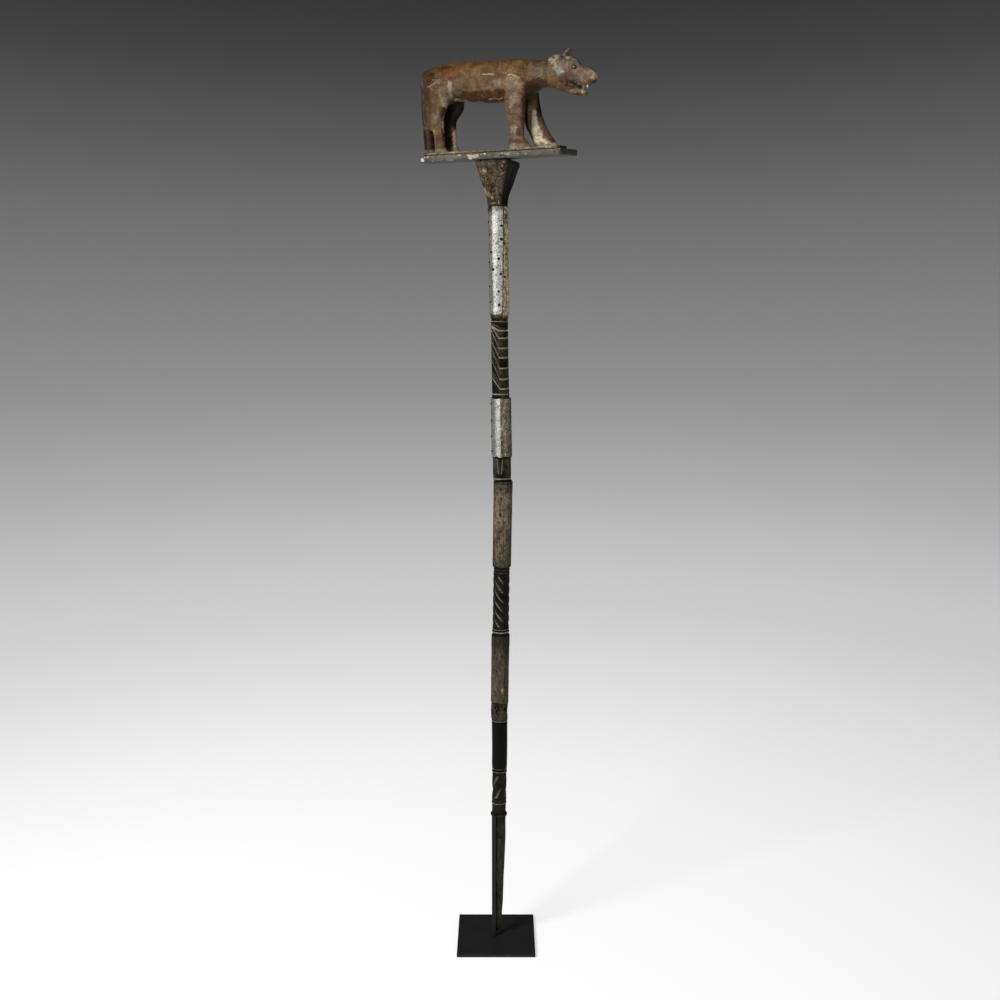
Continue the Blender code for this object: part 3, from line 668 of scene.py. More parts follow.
def finial_frame():
    """Where the plank and the leopard stand, worked out from the capital's top."""
    low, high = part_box("capital")
    own, block = settings("animal"), settings("capital")
    lift = block.half * math.sin(own.tilt) + CLEARANCE
    middle = ((low[0] + high[0]) / 2.0, (low[1] + high[1]) / 2.0, high[2] + lift)
    place = Matrix.Translation(middle) @ Matrix.Rotation(own.yaw, 4, "Z")
    return place @ Matrix.Rotation(own.tilt, 4, "X") @ Matrix.Rotation(-own.roll, 4, "Y")


def denser(stations, steps=4):
    """Read a smooth curve through a list of stations, so that a loft has no kinks."""
    rows = np.array(stations) / MM
    made = []
    for k in range(len(rows) - 1):
        before, start, end, after = rows[[max(k - 1, 0), k, k + 1, min(k + 2, len(rows) - 1)]]
        for t in np.arange(steps) / steps:
            bend = (2 * before - 5 * start + 4 * end - after) * t ** 2
            twist = (3 * start - before - 3 * end + after) * t ** 3
            made.append(0.5 * ((2 * start) + (end - before) * t + bend + twist))
    return made + [rows[-1]]


def add_loft(bm, rings):
    loops = [[bm.verts.new(point) for point in ring] for ring in rings]
    count = len(loops[0])
    for lower, upper in zip(loops, loops[1:]):
        for i in range(count):
            j = (i + 1) % count
            bm.faces.new((lower[i], lower[j], upper[j], upper[i]))
    bm.faces.new(list(reversed(loops[0])))
    bm.faces.new(loops[-1])


def ellipse(centre, across, up, half_across, half_up, sides=28):
    return [Vector(centre) + Vector(across) * (half_across * math.cos(TURN * i / sides))
            + Vector(up) * (half_up * math.sin(TURN * i / sides)) for i in range(sides)]


def lengthwise(bm, stations, shift=0.0):
    """A form whose sections stand across its length."""
    add_loft(bm, [ellipse((x, shift / MM, (low + high) / 2.0), (0, 1, 0), (0, 0, 1),
                          half, (high - low) / 2.0) for x, low, high, half in denser(stations)])


def upright(bm, stations, shift=0.0):
    """A form whose sections lie level."""
    add_loft(bm, [ellipse(((back + front) / 2.0, shift / MM, z), (1, 0, 0), (0, 1, 0),
                          (front - back) / 2.0, half)
                  for z, back, front, half in denser(sorted(stations))])


def slab_outline(height, steps=12):
    """The slab seen from above: square at the head's end, rounded at the tail's."""
    shares = [1.0 - 2.0 * step / steps for step in range(steps + 1)]
    points = [(SLAB_FRONT, -SLAB_HALF_WIDTH), (SLAB_FRONT, SLAB_HALF_WIDTH)]
    points += [(SLAB_BACK + SLAB_ROUND * share * share, SLAB_HALF_WIDTH * share)
               for share in shares]
    return [Vector((x, y, height)) for x, y in points]


def leopard_block(own):
    """All the animal's forms made one body, in its own frame."""
    bm = bmesh.new()
    for stations in (TRUNK, JAW, MOUTH):
        lengthwise(bm, stations)
    for side, hind, fore in LEGS:
        upright(bm, hind, side * LIMB_OUT)
        upright(bm, fore, side * LIMB_OUT)
    upright(bm, TAIL)
    lengthwise(bm, NEAR_EAR, -EAR_OUT)
    upright(bm, FAR_EAR, EAR_OUT - 2.0)
    underside = settings("plank").thickness + 0.0006
    add_loft(bm, [slab_outline(underside), slab_outline(underside + SLAB_THICK - 0.0003)])
    return one_body("leopard_carving", bm, own.voxel, rounds=5)


def away_from(points, start, end):
    """How far each point is from the straight line between start and end."""
    start, end = np.array(start), np.array(end)
    span = end - start
    share = np.clip((points - start) @ span / (span @ span), 0.0, 1.0)
    return np.linalg.norm(points - (start + share[:, None] * span), axis=1)


class Carver:
    """Pushes and paints the points of a mesh in the leopard's own frame, in millimetres."""

    def __init__(self, mesh, own):
        self.mesh, self.own = mesh, own
        points, self.normals = points_and_normals(mesh)
        self.points = points * MM
        self.wear = np.full(len(points), START_WEAR)
        # Near black painted shadow for the nostrils, the ear's hollow and the mouth's far corner.
        self.void = np.zeros(len(points))
        self.colour = np.tile(np.array(own.coat), (len(points), 1))
        waver = [grain(points, 0.0060, seed) + 0.5 * grain(points, 0.0022, seed + 2)
                 for seed in (31, 37, 41)]
        self.ragged = self.points + 2.0 * np.stack(waver, axis=1)

    def raise_by(self, heights):
        self.points += self.normals * heights[:, None]

    def push(self, centre, radii, amount):
        """Raise or sink a soft mound; returns how close each point is to its middle."""
        gap = (self.points - np.array(centre)) / np.array(radii)
        weight = np.exp(-np.sum(gap * gap, axis=1))
        self.raise_by(weight * amount)
        return weight

    def stroke(self, start, end, width, amount):
        """A cut or a ridge along a straight line."""
        gap = away_from(self.points, start, end)
        self.raise_by(np.exp(-(gap / width) ** 2) * amount)

    def cover(self, weight, name, strength=1.0):
        """Lay one of the named colours over the points, as strong as weight."""
        laid = np.array(getattr(self.own, name)) * strength
        self.colour += (laid - self.colour) * np.clip(weight, 0.0, 1.0)[:, None]

    def dab(self, dabs, where=1.0):
        """Ragged patches of colour seen from the side."""
        x, _, z = self.ragged.T
        for name, bright, place, height, half_along, half_height, strength in dabs:
            gap = ((x - place) / half_along) ** 2 + ((z - height) / half_height) ** 2
            self.cover(fade(gap, 1.9, 0.45) * strength * where, name, bright)

    def save(self):
        write_points(self.mesh, self.points / MM)
        add_mark(self.mesh, "wear", self.wear.clip(0.0, 1.0))
        add_mark(self.mesh, "void", self.void.clip(0.0, 1.0))
        add_mark(self.mesh, "laid_colour", self.colour)


# mounds and hollows on both sides of the head, in millimetres: centre, radii, how high
FACE_MOUNDS = (
    ((150, 15, 150.5), (10, 6, 4), 1.2),        # brow
    ((136.5, 17, 133), (10, 8, 9), 1.4),        # cheek
    ((176, 10.5, 122), (9, 6, 6), 1.0),         # upper lip
    ((164, 12.5, 136), (7, 5, 6), -1.2),        # under the eye
    ((150, 14.5, 144), (5.8, 6, 4.5), -1.2),    # the eye's hollow
)


def carve_face(work):
    """Brows, cheeks, nostrils, ears and mouth, with painted shadow in the nostrils and the ear's
    hollow.
    """
    for side in (-1.0, 1.0):
        for (x, y, z), radii, amount in FACE_MOUNDS:
            work.push((x, side * y, z), radii, amount)
        hole = work.push((184.5, side * 4.5, 129), (2.2, 2.2, 1.8), -1.8)
        # Painted shadow in the nostrils.
        work.void += fade(hole, 0.35, 0.7)
    work.push((164, 0, 153), (10, 13, 8), -4.2)
    hollow = work.push((116, -19.5, 161), (3, 5, 1.8), -3)
    # Painted shadow in the ear's hollow.
    work.void += fade(hollow, 0.45, 0.85) * 0.9
    work.push((134.5, 8, 172), (5, 3, 4), -1.6)


def carve_body(work):
    """Shoulders, haunches, toes, knife marks and old cracks."""
    for (side, hind, fore), fore_x, hind_x in zip(LEGS, (42, 56), (-101, -92)):
        work.push((fore_x, side * 21.5, 126), (20, 10, 16), 1.2)
        work.push((hind_x, side * 20.5, 126), (22, 10, 18), 1.2)
        work.push((fore_x + 25, side * 20, 125), (6, 10, 16), -1.0)
        work.push((hind_x + 28, side * 20, 120), (6, 10, 16), -0.8)
        for toe in (fore[-1][2], hind[-1][2]):
            for line in (-2.8, 0.0, 2.8):
                y = side * LIMB_OUT + line
                work.stroke((toe - 12, y, 26), (toe + 1, y, 16), 0.9, -0.9)
    work.stroke((26, -21, 52), (48, -20.5, 51), 1.4, -0.6)
    work.stroke((-130, -6, 150), (-129, -8, 90), 2.2, -1.0)
    work.stroke((-120.5, -12, 60), (-118, -12, 20), 1.8, -0.8)
    work.raise_by(0.38 * grain(work.points, 13.0, 3))
    work.raise_by(0.22 * grain(work.points, 4.5, 8))


# dabs of colour in millimetres: name, brightness, then along, height and their halves,
# and strength
BODY_DABS = [
    ("ochre", 0.5, -100, 149, 12, 7, 0.8), ("orange", 0.65, -86, 152, 8, 6, 0.8),
    ("orange", 1.05, -73, 148, 13, 6, 0.95), ("saddle", 1.05, -55, 149, 16, 7, 0.8),
    ("maroon", 1.6, -62, 142, 9, 3, 0.6), ("brown", 1.3, -90, 160, 15, 3, 0.8),
    ("ochre", 0.85, -46, 157, 18, 5, 0.8), ("ochre", 1.15, -27, 149, 9, 7, 0.8),
    ("saddle", 1.25, -8, 157, 14, 4, 0.7), ("brown", 1.7, 12, 153, 3, 3, 0.7),
    ("ochre", 0.95, 24, 153, 13, 7, 0.8), ("coat", 1.15, 44, 153, 16, 8, 0.6),
    ("ochre", 1.1, 40, 145, 9, 4, 0.8), ("ochre", 1.15, 42, 158, 16, 5, 0.5),
    ("brown", 1.8, 60, 147, 6, 2.5, 0.7), ("brown", 1.7, 66, 150, 2, 12, 0.8),
    ("pink", 0.6, -63, 130, 9, 8, 0.8), ("olive", 1.25, -46, 128, 5, 9, 0.9),
    ("coat", 1.05, -14, 126, 11, 9, 0.8), ("pink", 0.85, 3, 124, 5, 8, 0.7),
    ("pale", 0.48, 13, 128, 6, 7, 0.8), ("ochre", 0.95, 29, 130, 8, 8, 0.7),
    ("pink", 1.42, 50, 122, 9, 9, 0.6), ("slate", 0.95, 40, 109, 9, 8, 0.7),
    ("pale", 0.52, 39, 127, 14, 9, 0.6), ("slate", 0.45, -66, 117, 8, 5, 0.8),
    ("brown", 0.9, -115, 146, 8, 10, 0.95), ("coat", 0.75, -101, 122, 14, 15, 0.9),
    # The slate at -78 along, 130 high and the pale at -79, 117 and -88, 103 are painted highlights
    # down the thigh.
    ("pale", 0.42, -93, 118, 7, 9, 0.6), ("slate", 2.2, -78, 130, 4, 7, 0.75),
    ("pale", 0.52, -79, 117, 4, 10, 0.8), ("pale", 0.55, -88, 103, 8, 9, 0.8),
    ("coat", 0.6, -112, 104, 9, 17, 0.75), ("brown", 0.95, -122, 122, 6, 36, 0.9),
    ("coat", 0.85, -104, 98, 5, 9, 0.6), ("pink", 0.58, 76, 143, 10, 13, 0.9),
    ("slate", 0.95, 89, 139, 7, 10, 0.7), ("olive", 1.1, 100, 142, 5, 17, 0.8),
    # The maroon at 86, 122 and at 68, 112 and the dark brown at 74, 109 are red brown paint and
    # painted shade on the chest between the forelegs.
    ("olive", 0.95, 82, 160, 15, 5, 0.85), ("maroon", 0.7, 86, 122, 16, 8, 0.9),
    ("maroon", 0.5, 68, 112, 6, 14, 0.85), ("maroon", 1.6, 73, 113, 2, 6, 0.5),
    ("brown", 1.5, 106, 130, 6, 11, 0.6), ("brown", 0.35, 74, 109, 13, 13, 0.9),
]
HEAD_DABS = [
    ("pale", 0.95, 112, 157, 7, 4, 0.95), ("pale", 0.6, 122, 157, 6, 8, 0.85),
    ("ochre", 1.15, 119, 148, 5, 5, 0.6), ("pale", 0.85, 117, 145, 4, 6, 0.85),
    # The chalk at 124 along, 139 high is a painted highlight below the ear.
    ("chalk", 0.75, 124, 139, 6, 8, 0.75), ("pale", 1.15, 130, 136, 3, 2.2, 0.95),
    ("slate", 1.15, 130, 155, 6, 8, 0.8), ("pale", 1.2, 139, 159.5, 4, 2.6, 0.95),
    ("pink", 1, 136, 147, 5, 6, 0.8), ("slate", 1.25, 143, 153, 8, 8, 0.6),
    ("maroon", 2.4, 141, 141, 2, 5, 0.6), ("slate", 0.72, 134, 127, 9, 9, 0.75),
    ("ochre", 0.55, 121, 122, 9, 8, 0.9), ("ochre", 0.8, 122, 124, 4, 4, 0.8),
    ("coat", 0.8, 109, 131, 8, 15, 0.6), ("maroon", 1.3, 110, 117, 8, 4, 0.8),
    ("coat", 0.48, 136, 112, 13, 5, 0.85), ("brown", 0.8, 135, 117, 2, 1.6, 0.7),
    ("pink", 0.95, 161, 140, 10, 9, 0.8), ("slate", 1.1, 160, 149, 8, 6, 0.8),
    # The pale at 176 along, 134 high is a painted highlight along the top of the nose.
    ("slate", 1.1, 158, 126, 9, 6, 0.75), ("pale", 0.6, 176, 134, 11, 3, 0.6),
    ("pale", 0.92, 184, 127.5, 5, 5, 0.95), ("olive", 1, 178, 118, 5, 4, 0.95),
    ("black", 1, 185, 116, 5, 4.5, 0.95), ("pale", 0.6, 158, 107, 12, 2.4, 0.9),
    ("orange", 0.85, 156, 99, 7, 2.8, 0.9), ("ochre", 0.95, 168, 98.5, 4, 3, 0.8),
    ("pale", 1, 165, 103, 4, 2.2, 0.9),
]
NEAR_LEG_DABS = [
    # The maroon down the near foreleg's right edge, 57 to 60 along, is red brown paint and painted
    # shade; the pale and bright pink at 38 to 45 along, 84 to 98 high, are painted highlights.
    ("pink", 0.7, 42, 70, 18, 50, 0.8), ("pink", 1.15, 45, 98, 9, 10, 0.85),
    ("pale", 0.45, 38, 84, 5, 8, 0.8), ("olive", 1.3, 38, 74, 5, 2, 0.8),
    ("coat", 0.85, 27, 80, 5, 26, 0.7), ("maroon", 0.85, 60, 93, 5, 13, 0.9),
    ("maroon", 0.95, 57, 62, 5, 18, 0.85), ("pale", 0.62, 38, 47, 7, 8, 0.9),
    ("maroon", 1.3, 48, 45, 4, 8, 0.85), ("maroon", 2, 37, 29, 8, 4, 0.8),
    ("ochre", 0.95, 55, 27, 9, 3.5, 0.8), ("pale", 0.55, 47, 34, 8, 2.2, 0.7),
    ("saddle", 0.7, -124, 78, 8, 17, 0.9), ("orange", 0.75, -121, 66, 4, 7, 0.5),
    ("pale", 0.3, -108, 78, 6, 10, 0.6), ("olive", 1.6, -108, 64, 6, 9, 0.7),
    ("maroon", 1.9, -104, 38, 4.5, 15, 0.8), ("brown", 0.5, -97.5, 52, 2, 14, 0.9),
    ("pink", 0.8, -106, 27, 6, 5, 0.8), ("brown", 0.75, -94, 82, 5, 12, 0.95),
    ("pale", 0.35, -96, 62, 1.6, 14, 0.8), ("brown", 0.6, -92.5, 60, 1.6, 15, 0.8),
    ("ochre", 0.8, -112, 29, 8, 4, 0.6), ("pale", 0.45, -106, 79, 4, 2, 0.7),
]
# The black dabs are painted shade on the far legs; the pink at 62 along and the pale and chalk dabs
# brightened to 1.6 and more are painted light, set against the shade that falls on these legs.
FAR_LEG_DABS = [
    ("brown", 0.7, 66, 75, 13, 60, 1), ("olive", 0.85, 66, 92, 10, 20, 0.95),
    ("black", 1, 81, 90, 5, 22, 0.95), ("pink", 1.15, 62, 64, 5.5, 23, 0.9),
    ("brown", 0.5, 54, 60, 3, 26, 0.9), ("pale", 0.9, 70, 72, 3.6, 9, 0.95),
    ("chalk", 0.9, 71, 57, 5.5, 13, 0.8), ("pale", 1.65, 73.5, 44, 9, 11, 0.95),
    ("pale", 1.7, 80, 30, 12, 9, 0.95), ("pale", 1.6, 88, 20, 16, 6, 0.95),
    ("chalk", 1.6, 76, 42, 6, 14, 0.3), ("coat", 0.65, 82, 56, 3.5, 13, 0.9),
    ("maroon", 1.9, 91, 38, 7, 9, 0.9), ("slate", 0.95, 93, 50, 4, 11, 0.7),
    ("pink", 0.6, 97, 33, 5, 5, 0.7), ("maroon", 1.4, 103, 27, 8, 6, 0.9),
    ("black", 1, -92, 95, 50, 45, 1), ("brown", 0.7, -98, 50, 8, 22, 0.95),
    ("ochre", 0.85, -87, 45, 7, 14, 0.95), ("pale", 1.6, -84.5, 38, 3.4, 16, 0.95),
    ("olive", 0.5, -93, 42, 3.5, 14, 0.8), ("pale", 0.62, -82, 25, 4, 3, 0.8),
]
# The olive at 124 along is painted shade on the slab's head end; the two olive lines at 12 high are
# painted shade where the slab meets the plank.
SLAB_DABS = [
    ("pale", 0.55, -92, 19, 30, 6, 0.9), ("pale", 0.75, -74, 17, 14, 3, 0.8),
    ("pale", 0.62, 50, 19, 26, 6, 0.9), ("pale", 0.8, 100, 19, 18, 4, 0.9),
    ("pale", 0.3, -10, 16, 36, 2.5, 0.8), ("olive", 0.6, 124, 15, 6, 5, 0.9),
    ("brown", 0.9, -133, 17, 7, 4, 0.7), ("olive", 0.8, 5, 12, 60, 1.8, 0.7),
    ("olive", 0.7, 85, 12.5, 22, 1.6, 0.7),
]
# thin pale lines in millimetres, scratches and painted highlights: start, end, width and their
# strength
PALE_MARKS = [
    ((-122, 129), (-111, 132), 1.3, 0.8), ((-111, 132), (-104, 137), 1.2, 0.7),
    ((-104, 137), (-96, 134), 1.2, 0.5), ((-111, 141), (-97, 140), 1, 0.5),
    # Painted highlights: the three lines along the back, from -16 to 53 along.
    ((-16, 143.5), (6, 142.5), 1.5, 0.95), ((33, 138.5), (40, 138.5), 1.5, 0.9),
    ((42, 138), (53, 132.5), 1.6, 0.95), ((-72, 105), (-50, 100.5), 3.6, 0.9),
    ((-50, 100.5), (-20, 97.5), 2.4, 0.8), ((-8, 101.5), (17, 101), 1, 0.8),
    ((8, 97), (18, 96), 1.4, 0.6), ((27, 53), (47, 51), 1, 0.8), ((-36, 145), (-33, 141), 0.9, 0.5),
    ((22, 143), (30, 142), 0.9, 0.5), ((-22, 137), (-17, 135), 0.9, 0.4),
    # Painted highlights: the two lines along the top of the snout.
    ((176, 135), (189, 131), 1, 0.7), ((164, 146), (182, 135), 1.6, 0.45),
    ((146, 157), (154, 155), 1.4, 0.3), ((84, 131), (90, 136), 1, 0.4),
    # Painted highlight: the line down the hind shank's back edge at -114 along.
    ((-114, 57), (-113, 24), 1.2, 0.75), ((-97, 70), (-95, 40), 0.9, 0.6),
    ((-76, 100), (-95, 76), 1, 0.45),
]


def paint_leopard(work):
    """Where each colour lies, from the broad coats to the thin marks, in millimetres."""
    x, y, z = work.ragged.T
    down = fade(work.normals[:, 2], -0.45, -0.95)
    edge = np.interp(x, (-124, -111, -80, -30, 25, 58, 68),
                     (139, 135, 139, 140.5, 138, 129, 132))
    saddle = fade(z - edge, -1.5, 3.0) * fade(x, -128, -118) * fade(x, 69, 66)
    work.cover(saddle, "saddle")
    work.wear -= 0.36 * saddle
    # The belly's dark band is brown paint deepened by painted shade under the body.
    belly = fade(z, 119, 114) * fade(z, 90, 94) * (np.abs(x + 25) < 50)
    work.cover(belly, "brown")
    work.cover(belly * hill(x, -50, 12), "maroon", 0.9)
    work.cover(belly * hill(x, -18, 8) * 0.8, "olive", 0.95)
    work.cover(belly * hill(x, 4, 9) * 0.7, "brown", 1.6)
    work.dab(BODY_DABS)
    head = fade(x, 100, 106)
    work.cover(head * 0.8, "pink", 0.80)
    work.dab(HEAD_DABS, head)
    limbs = fade(z, 118, 104) * (np.abs(x) > 18) * (x < 120)
    limbs = np.where((x > -61) & (x < 18), 0.0, limbs)
    far = np.where((x < 0) | (x > 30), fade(z, 112, 104), 0.0) * fade(y, 0.0, 3.5)
    work.dab(NEAR_LEG_DABS, limbs * fade(y, -0.5, -4.5))
    work.dab(FAR_LEG_DABS, limbs * far)
    tail = fade(x, -123.5, -127.5) * fade(z, 58, 66)
    tail = np.maximum(tail, fade(x, -116.5, -118.5) * fade(z, 64, 58) * fade(y, -12, -8))
    foot = fade(z, 62, 55)
    work.cover(tail * 0.95, "brown", 0.45)
    work.cover(tail * 0.30, "slate", 0.6)
    # Painted highlight: a paler line down the middle of the tail.
    work.cover(tail * hill(x, -133.5, 1.8) * 0.8, "slate", 0.55)
    # Painted shade: the tail's lower part, where wood joins it to the hind leg, goes dark maroon.
    work.cover(tail * foot * 0.9, "maroon", 0.32)
    work.cover(tail * hill(x, -130, 2.5) * foot * 0.7, "olive", 0.75)
    work.cover(fade(z, 24.5, 19.5) * 0.85, "pale", 0.50)
    # Painted shade: a dark line along the slab's foot, where it meets the plank.
    work.cover(fade(z, 13.6, 12.4) * 0.95, "maroon", 0.25)
    work.dab(SLAB_DABS, fade(z, 27, 21))
    for start, end, width, strength in PALE_MARKS:
        gap = away_from(work.ragged[:, [0, 2]], start, end)
        work.cover(fade(gap, width, width * 0.4) * strength * (y < 0), "pale", 0.95)
    # Painted shade: faces that point down, from 50 mm up, are darkened with olive.
    work.cover(down * fade(z, 30, 50) * 0.75, "olive", 0.55)
    shut = fade(np.abs(y), 12, 8.5) * (x > 138) * (x < 176)
    upper = np.interp(x, (140, 150, 158, 172), (120.5, 119, 115, 112))
    lower = np.interp(x, (140, 152, 160, 170), (118.5, 111.5, 107, 104))
    inside = fade(z, lower - 0.8, lower + 0.4) * fade(z, upper + 0.8, upper - 0.4) * shut
    work.cover(inside, "slate")
    # Painted shadow towards the mouth's far corner.
    work.void += inside * fade(x, 162, 160)
    ear = (z > 165.5) * (x > 128)
    work.cover(ear * 0.9, "pale", 0.75)
    work.cover(ear * fade(x - z, -42.5, -40.0) * 0.95, "slate", 0.42)


class CarveLeopard(bpy.types.Operator):
    """Carve and paint the leopard with the slab it stands on"""
    bl_idname = "staff.carve_leopard"
    bl_label = "Carve Leopard"

    def execute(self, context):
        own = settings("animal")
        piece = leopard_block(own)
        work = Carver(piece.data, own)
        carve_face(work)
        carve_body(work)
        paint_leopard(work)
        work.save()
        piece.data.transform(finial_frame())
        finish_piece(piece, leopard_finish(own), "leopard_paint", "leopard")
        return {"FINISHED"}


# piece, finish, colour, roughness, and in eye radii how far out and ahead of the eye's
# middle it sits and its radii
EYE_PARTS = (
    ("eye_rims", "eye_rim", (0.020, 0.017, 0.011), 0.4, 0.0, 0.0, (1.15, 0.40, 0.86)),
    ("eye_whites", "eye_white", (0.17, 0.18, 0.15), 0.4, 0.22, 0.0, (0.62, 0.30, 0.46)),
    ("eye_pupils", "eye_black", (0.012, 0.011, 0.009), 0.3, 0.36, 0.60, (0.30, 0.20, 0.36)),
)


TOOTH_PLACE, TOOTH_RADII = (0.1686, 0.0056, 0.1122), (0.0016, 0.0014, 0.0030)
TOOTH_STAGGER = 0.0026          # how much further back the far tooth is set, and the near one ahead


def add_ball(bm, centre, radii, turn=Matrix(), rings=10, sides=18):
    place = Matrix.Translation(centre) @ turn @ Matrix.Diagonal((*radii, 1.0))
    bmesh.ops.create_uvsphere(bm, u_segments=sides, v_segments=rings, radius=1.0, matrix=place)


def small_piece(name, bm, finish):
    mesh = mesh_of(name, bm)
    mesh.transform(finial_frame())
    finish_piece(link(name, mesh), finish, "leopard_paint")


class SetEyesAndTeeth(bpy.types.Operator):
    """Set the dark rimmed eyes with their pale centres, and the teeth, in the leopard's head"""
    bl_idname = "staff.set_eyes_and_teeth"
    bl_label = "Set Eyes and Teeth"

    def execute(self, context):
        size = settings("animal").eye_radius
        inwards, upwards = math.radians(-18.0), math.radians(20.0)
        for name, finish, colour, roughness, out, ahead, radii in EYE_PARTS:
            bm = bmesh.new()
            for side in (-1.0, 1.0):
                x, y, z = EYE_PLACE
                turn = Matrix.Rotation(inwards * side, 4, "Z") @ Matrix.Rotation(upwards, 4, "Y")
                centre = Vector((x, side * y, z)) + Vector((size * ahead, 0.0, 0.0))
                centre += Vector((0.28, side, 0.0)).normalized() * (size * out)
                add_ball(bm, centre, [size * radius for radius in radii], turn)
            small_piece(name, bm, plain_finish(finish, colour, roughness))
        teeth = bmesh.new()
        for side in (-1.0, 1.0):
            x, y, z = TOOTH_PLACE
            add_ball(teeth, (x - side * TOOTH_STAGGER, side * y, z), TOOTH_RADII, rings=8,
                     sides=10)
        small_piece("teeth", teeth, plain_finish("tooth_white", (0.36, 0.34, 0.35), 0.4))
        return {"FINISHED"}


# ---------------------------------------------------------------- the plank
# the near and the far corner of each end, along the plank
PLANK_TAIL_END = (-0.1340, -0.1510)
PLANK_HEAD_END = (0.1317, 0.1363)
PLANK_VOXEL = 0.0013
HATCH_PLACE, HATCH_PITCH = -0.0310, TURN / 2600.0   # slanting knife marks in the widest chip
# chips on the plank's front face in millimetres: along, height, their halves, and how bare
CHIPS = [
    (-117, 9, 2.6, 2, 1), (-94.5, 9.5, 2, 1.6, 0.9), (-68, 8.5, 3.5, 2, 0.55),
    (-58, 9.2, 4.5, 1.6, 0.75), (-36, 5.5, 6.5, 6, 1.15), (-26, 6, 7.5, 5.5, 1.1),
    (-15, 8, 2, 1.5, 0.8), (-8, 8.5, 4.5, 2, 0.7), (0, 6, 2.5, 1.5, 0.6), (24.5, 8, 2.2, 2, 0.75),
    (34, 6.5, 6.5, 2.6, 1), (54, 5.5, 2.4, 2.2, 1), (68, 4.5, 1.8, 1.2, 0.9),
    (75, 9.5, 1.5, 1, 0.8), (12, 3.5, 4, 1.5, 0.55), (92, 5, 5, 1.6, 0.5), (115, 8, 2, 1.5, 0.6),
    (-129, 3, 5, 6, 1.2),
]


class CutPlank(bpy.types.Operator):
    """Cut the weathered board under the leopard"""
    bl_idname = "staff.cut_plank"
    bl_label = "Cut Plank"

    def execute(self, context):
        own = settings("plank")
        near, far = -own.width / 2.0, own.width / 2.0
        corners = [(PLANK_TAIL_END[0], near), (PLANK_HEAD_END[0], near),
                   (PLANK_HEAD_END[1], far), (PLANK_TAIL_END[1], far)]
        bm = bmesh.new()
        add_loft(bm, [[Vector((x, y, height)) for x, y in corners]
                      for height in (0.0001, own.thickness - 0.0001)])
        piece = one_body("plank_board", bm, PLANK_VOXEL, rounds=2)
        self.weather(piece.data, own)
        piece.data.transform(finial_frame())
        finish_piece(piece, plank_finish(own), "plank_wood", "plank", sharp=50.0)
        return {"FINISHED"}

    def weather(self, mesh, own):
        """Wear the edges, chip the front face, raise the grain and lay painted shade."""
        points, normals = points_and_normals(mesh)
        x, y, z = points.T
        inward = y + own.width / 2.0
        edge = np.minimum(*(np.hypot(np.minimum(inward, 0.01), np.minimum(height, 0.01))
                            for height in (z, own.thickness - z)))
        front = fade(inward, 0.0015, 0.0)
        torn = grain(points, 0.0030, 4)
        wear = fade(edge, 0.0035, 0.0005) * fade(grain(points, 0.0065, 21), 0.20, 0.60) * 0.9
        for place, height, half_along, half_height, bare in CHIPS:
            gap = np.hypot((x * MM - place) / half_along, (z * MM - height) / half_height)
            wear = np.maximum(wear, fade(gap + 0.45 * torn, 1.0, 0.6) * front * bare)
        hatch = fade(np.sin((x - z) * TURN / HATCH_PITCH), 0.3, 0.8)
        hatch = hatch * fade(np.abs(x - HATCH_PLACE), 0.012, 0.008)
        wear = wear * (1.0 - 0.60 * hatch * front)
        rubbed = fade(grain(points, 0.0040, 9), 0.30, 0.60) * front * fade(z, 0.004, 0.007)
        wear = np.maximum(wear, 0.62 * rubbed).clip(0.0, 1.0)
        corner = np.exp(-((x - PLANK_TAIL_END[0]) ** 2 + inward ** 2) / 0.0045 ** 2)
        # Painted shade: the front darkens over its lower half, most at its bottom edge.
        lower = 0.35 * fade(z + 0.0012 * torn, 0.0066, 0.0042) + 0.65 * fade(z, 0.0016, 0.0006)
        points -= normals * (0.0007 * wear + 0.0022 * corner)[:, None]
        drawn_out = grain(points * np.array([0.15, 1.0, 1.0]), 0.004, 6)
        points += normals * (0.00022 * drawn_out)[:, None]
        points[:, 2] = np.clip(points[:, 2], 0.00005, own.thickness)
        # Painted shade on the head end, the lower front and the faces that point down.
        dark = fade(x, 0.126, 0.130) + 0.75 * lower * front + 0.6 * fade(normals[:, 2], -0.4, -0.9)
        write_points(mesh, points)
        add_mark(mesh, "wear", wear)
        add_mark(mesh, "dark", dark.clip(0.0, 1.0))


# ---------------------------------------------------------------- the capital
CAPITAL_SIDES = 208
CUT_FACE = math.radians(46.0)   # how far round from the middle of the front its corners are
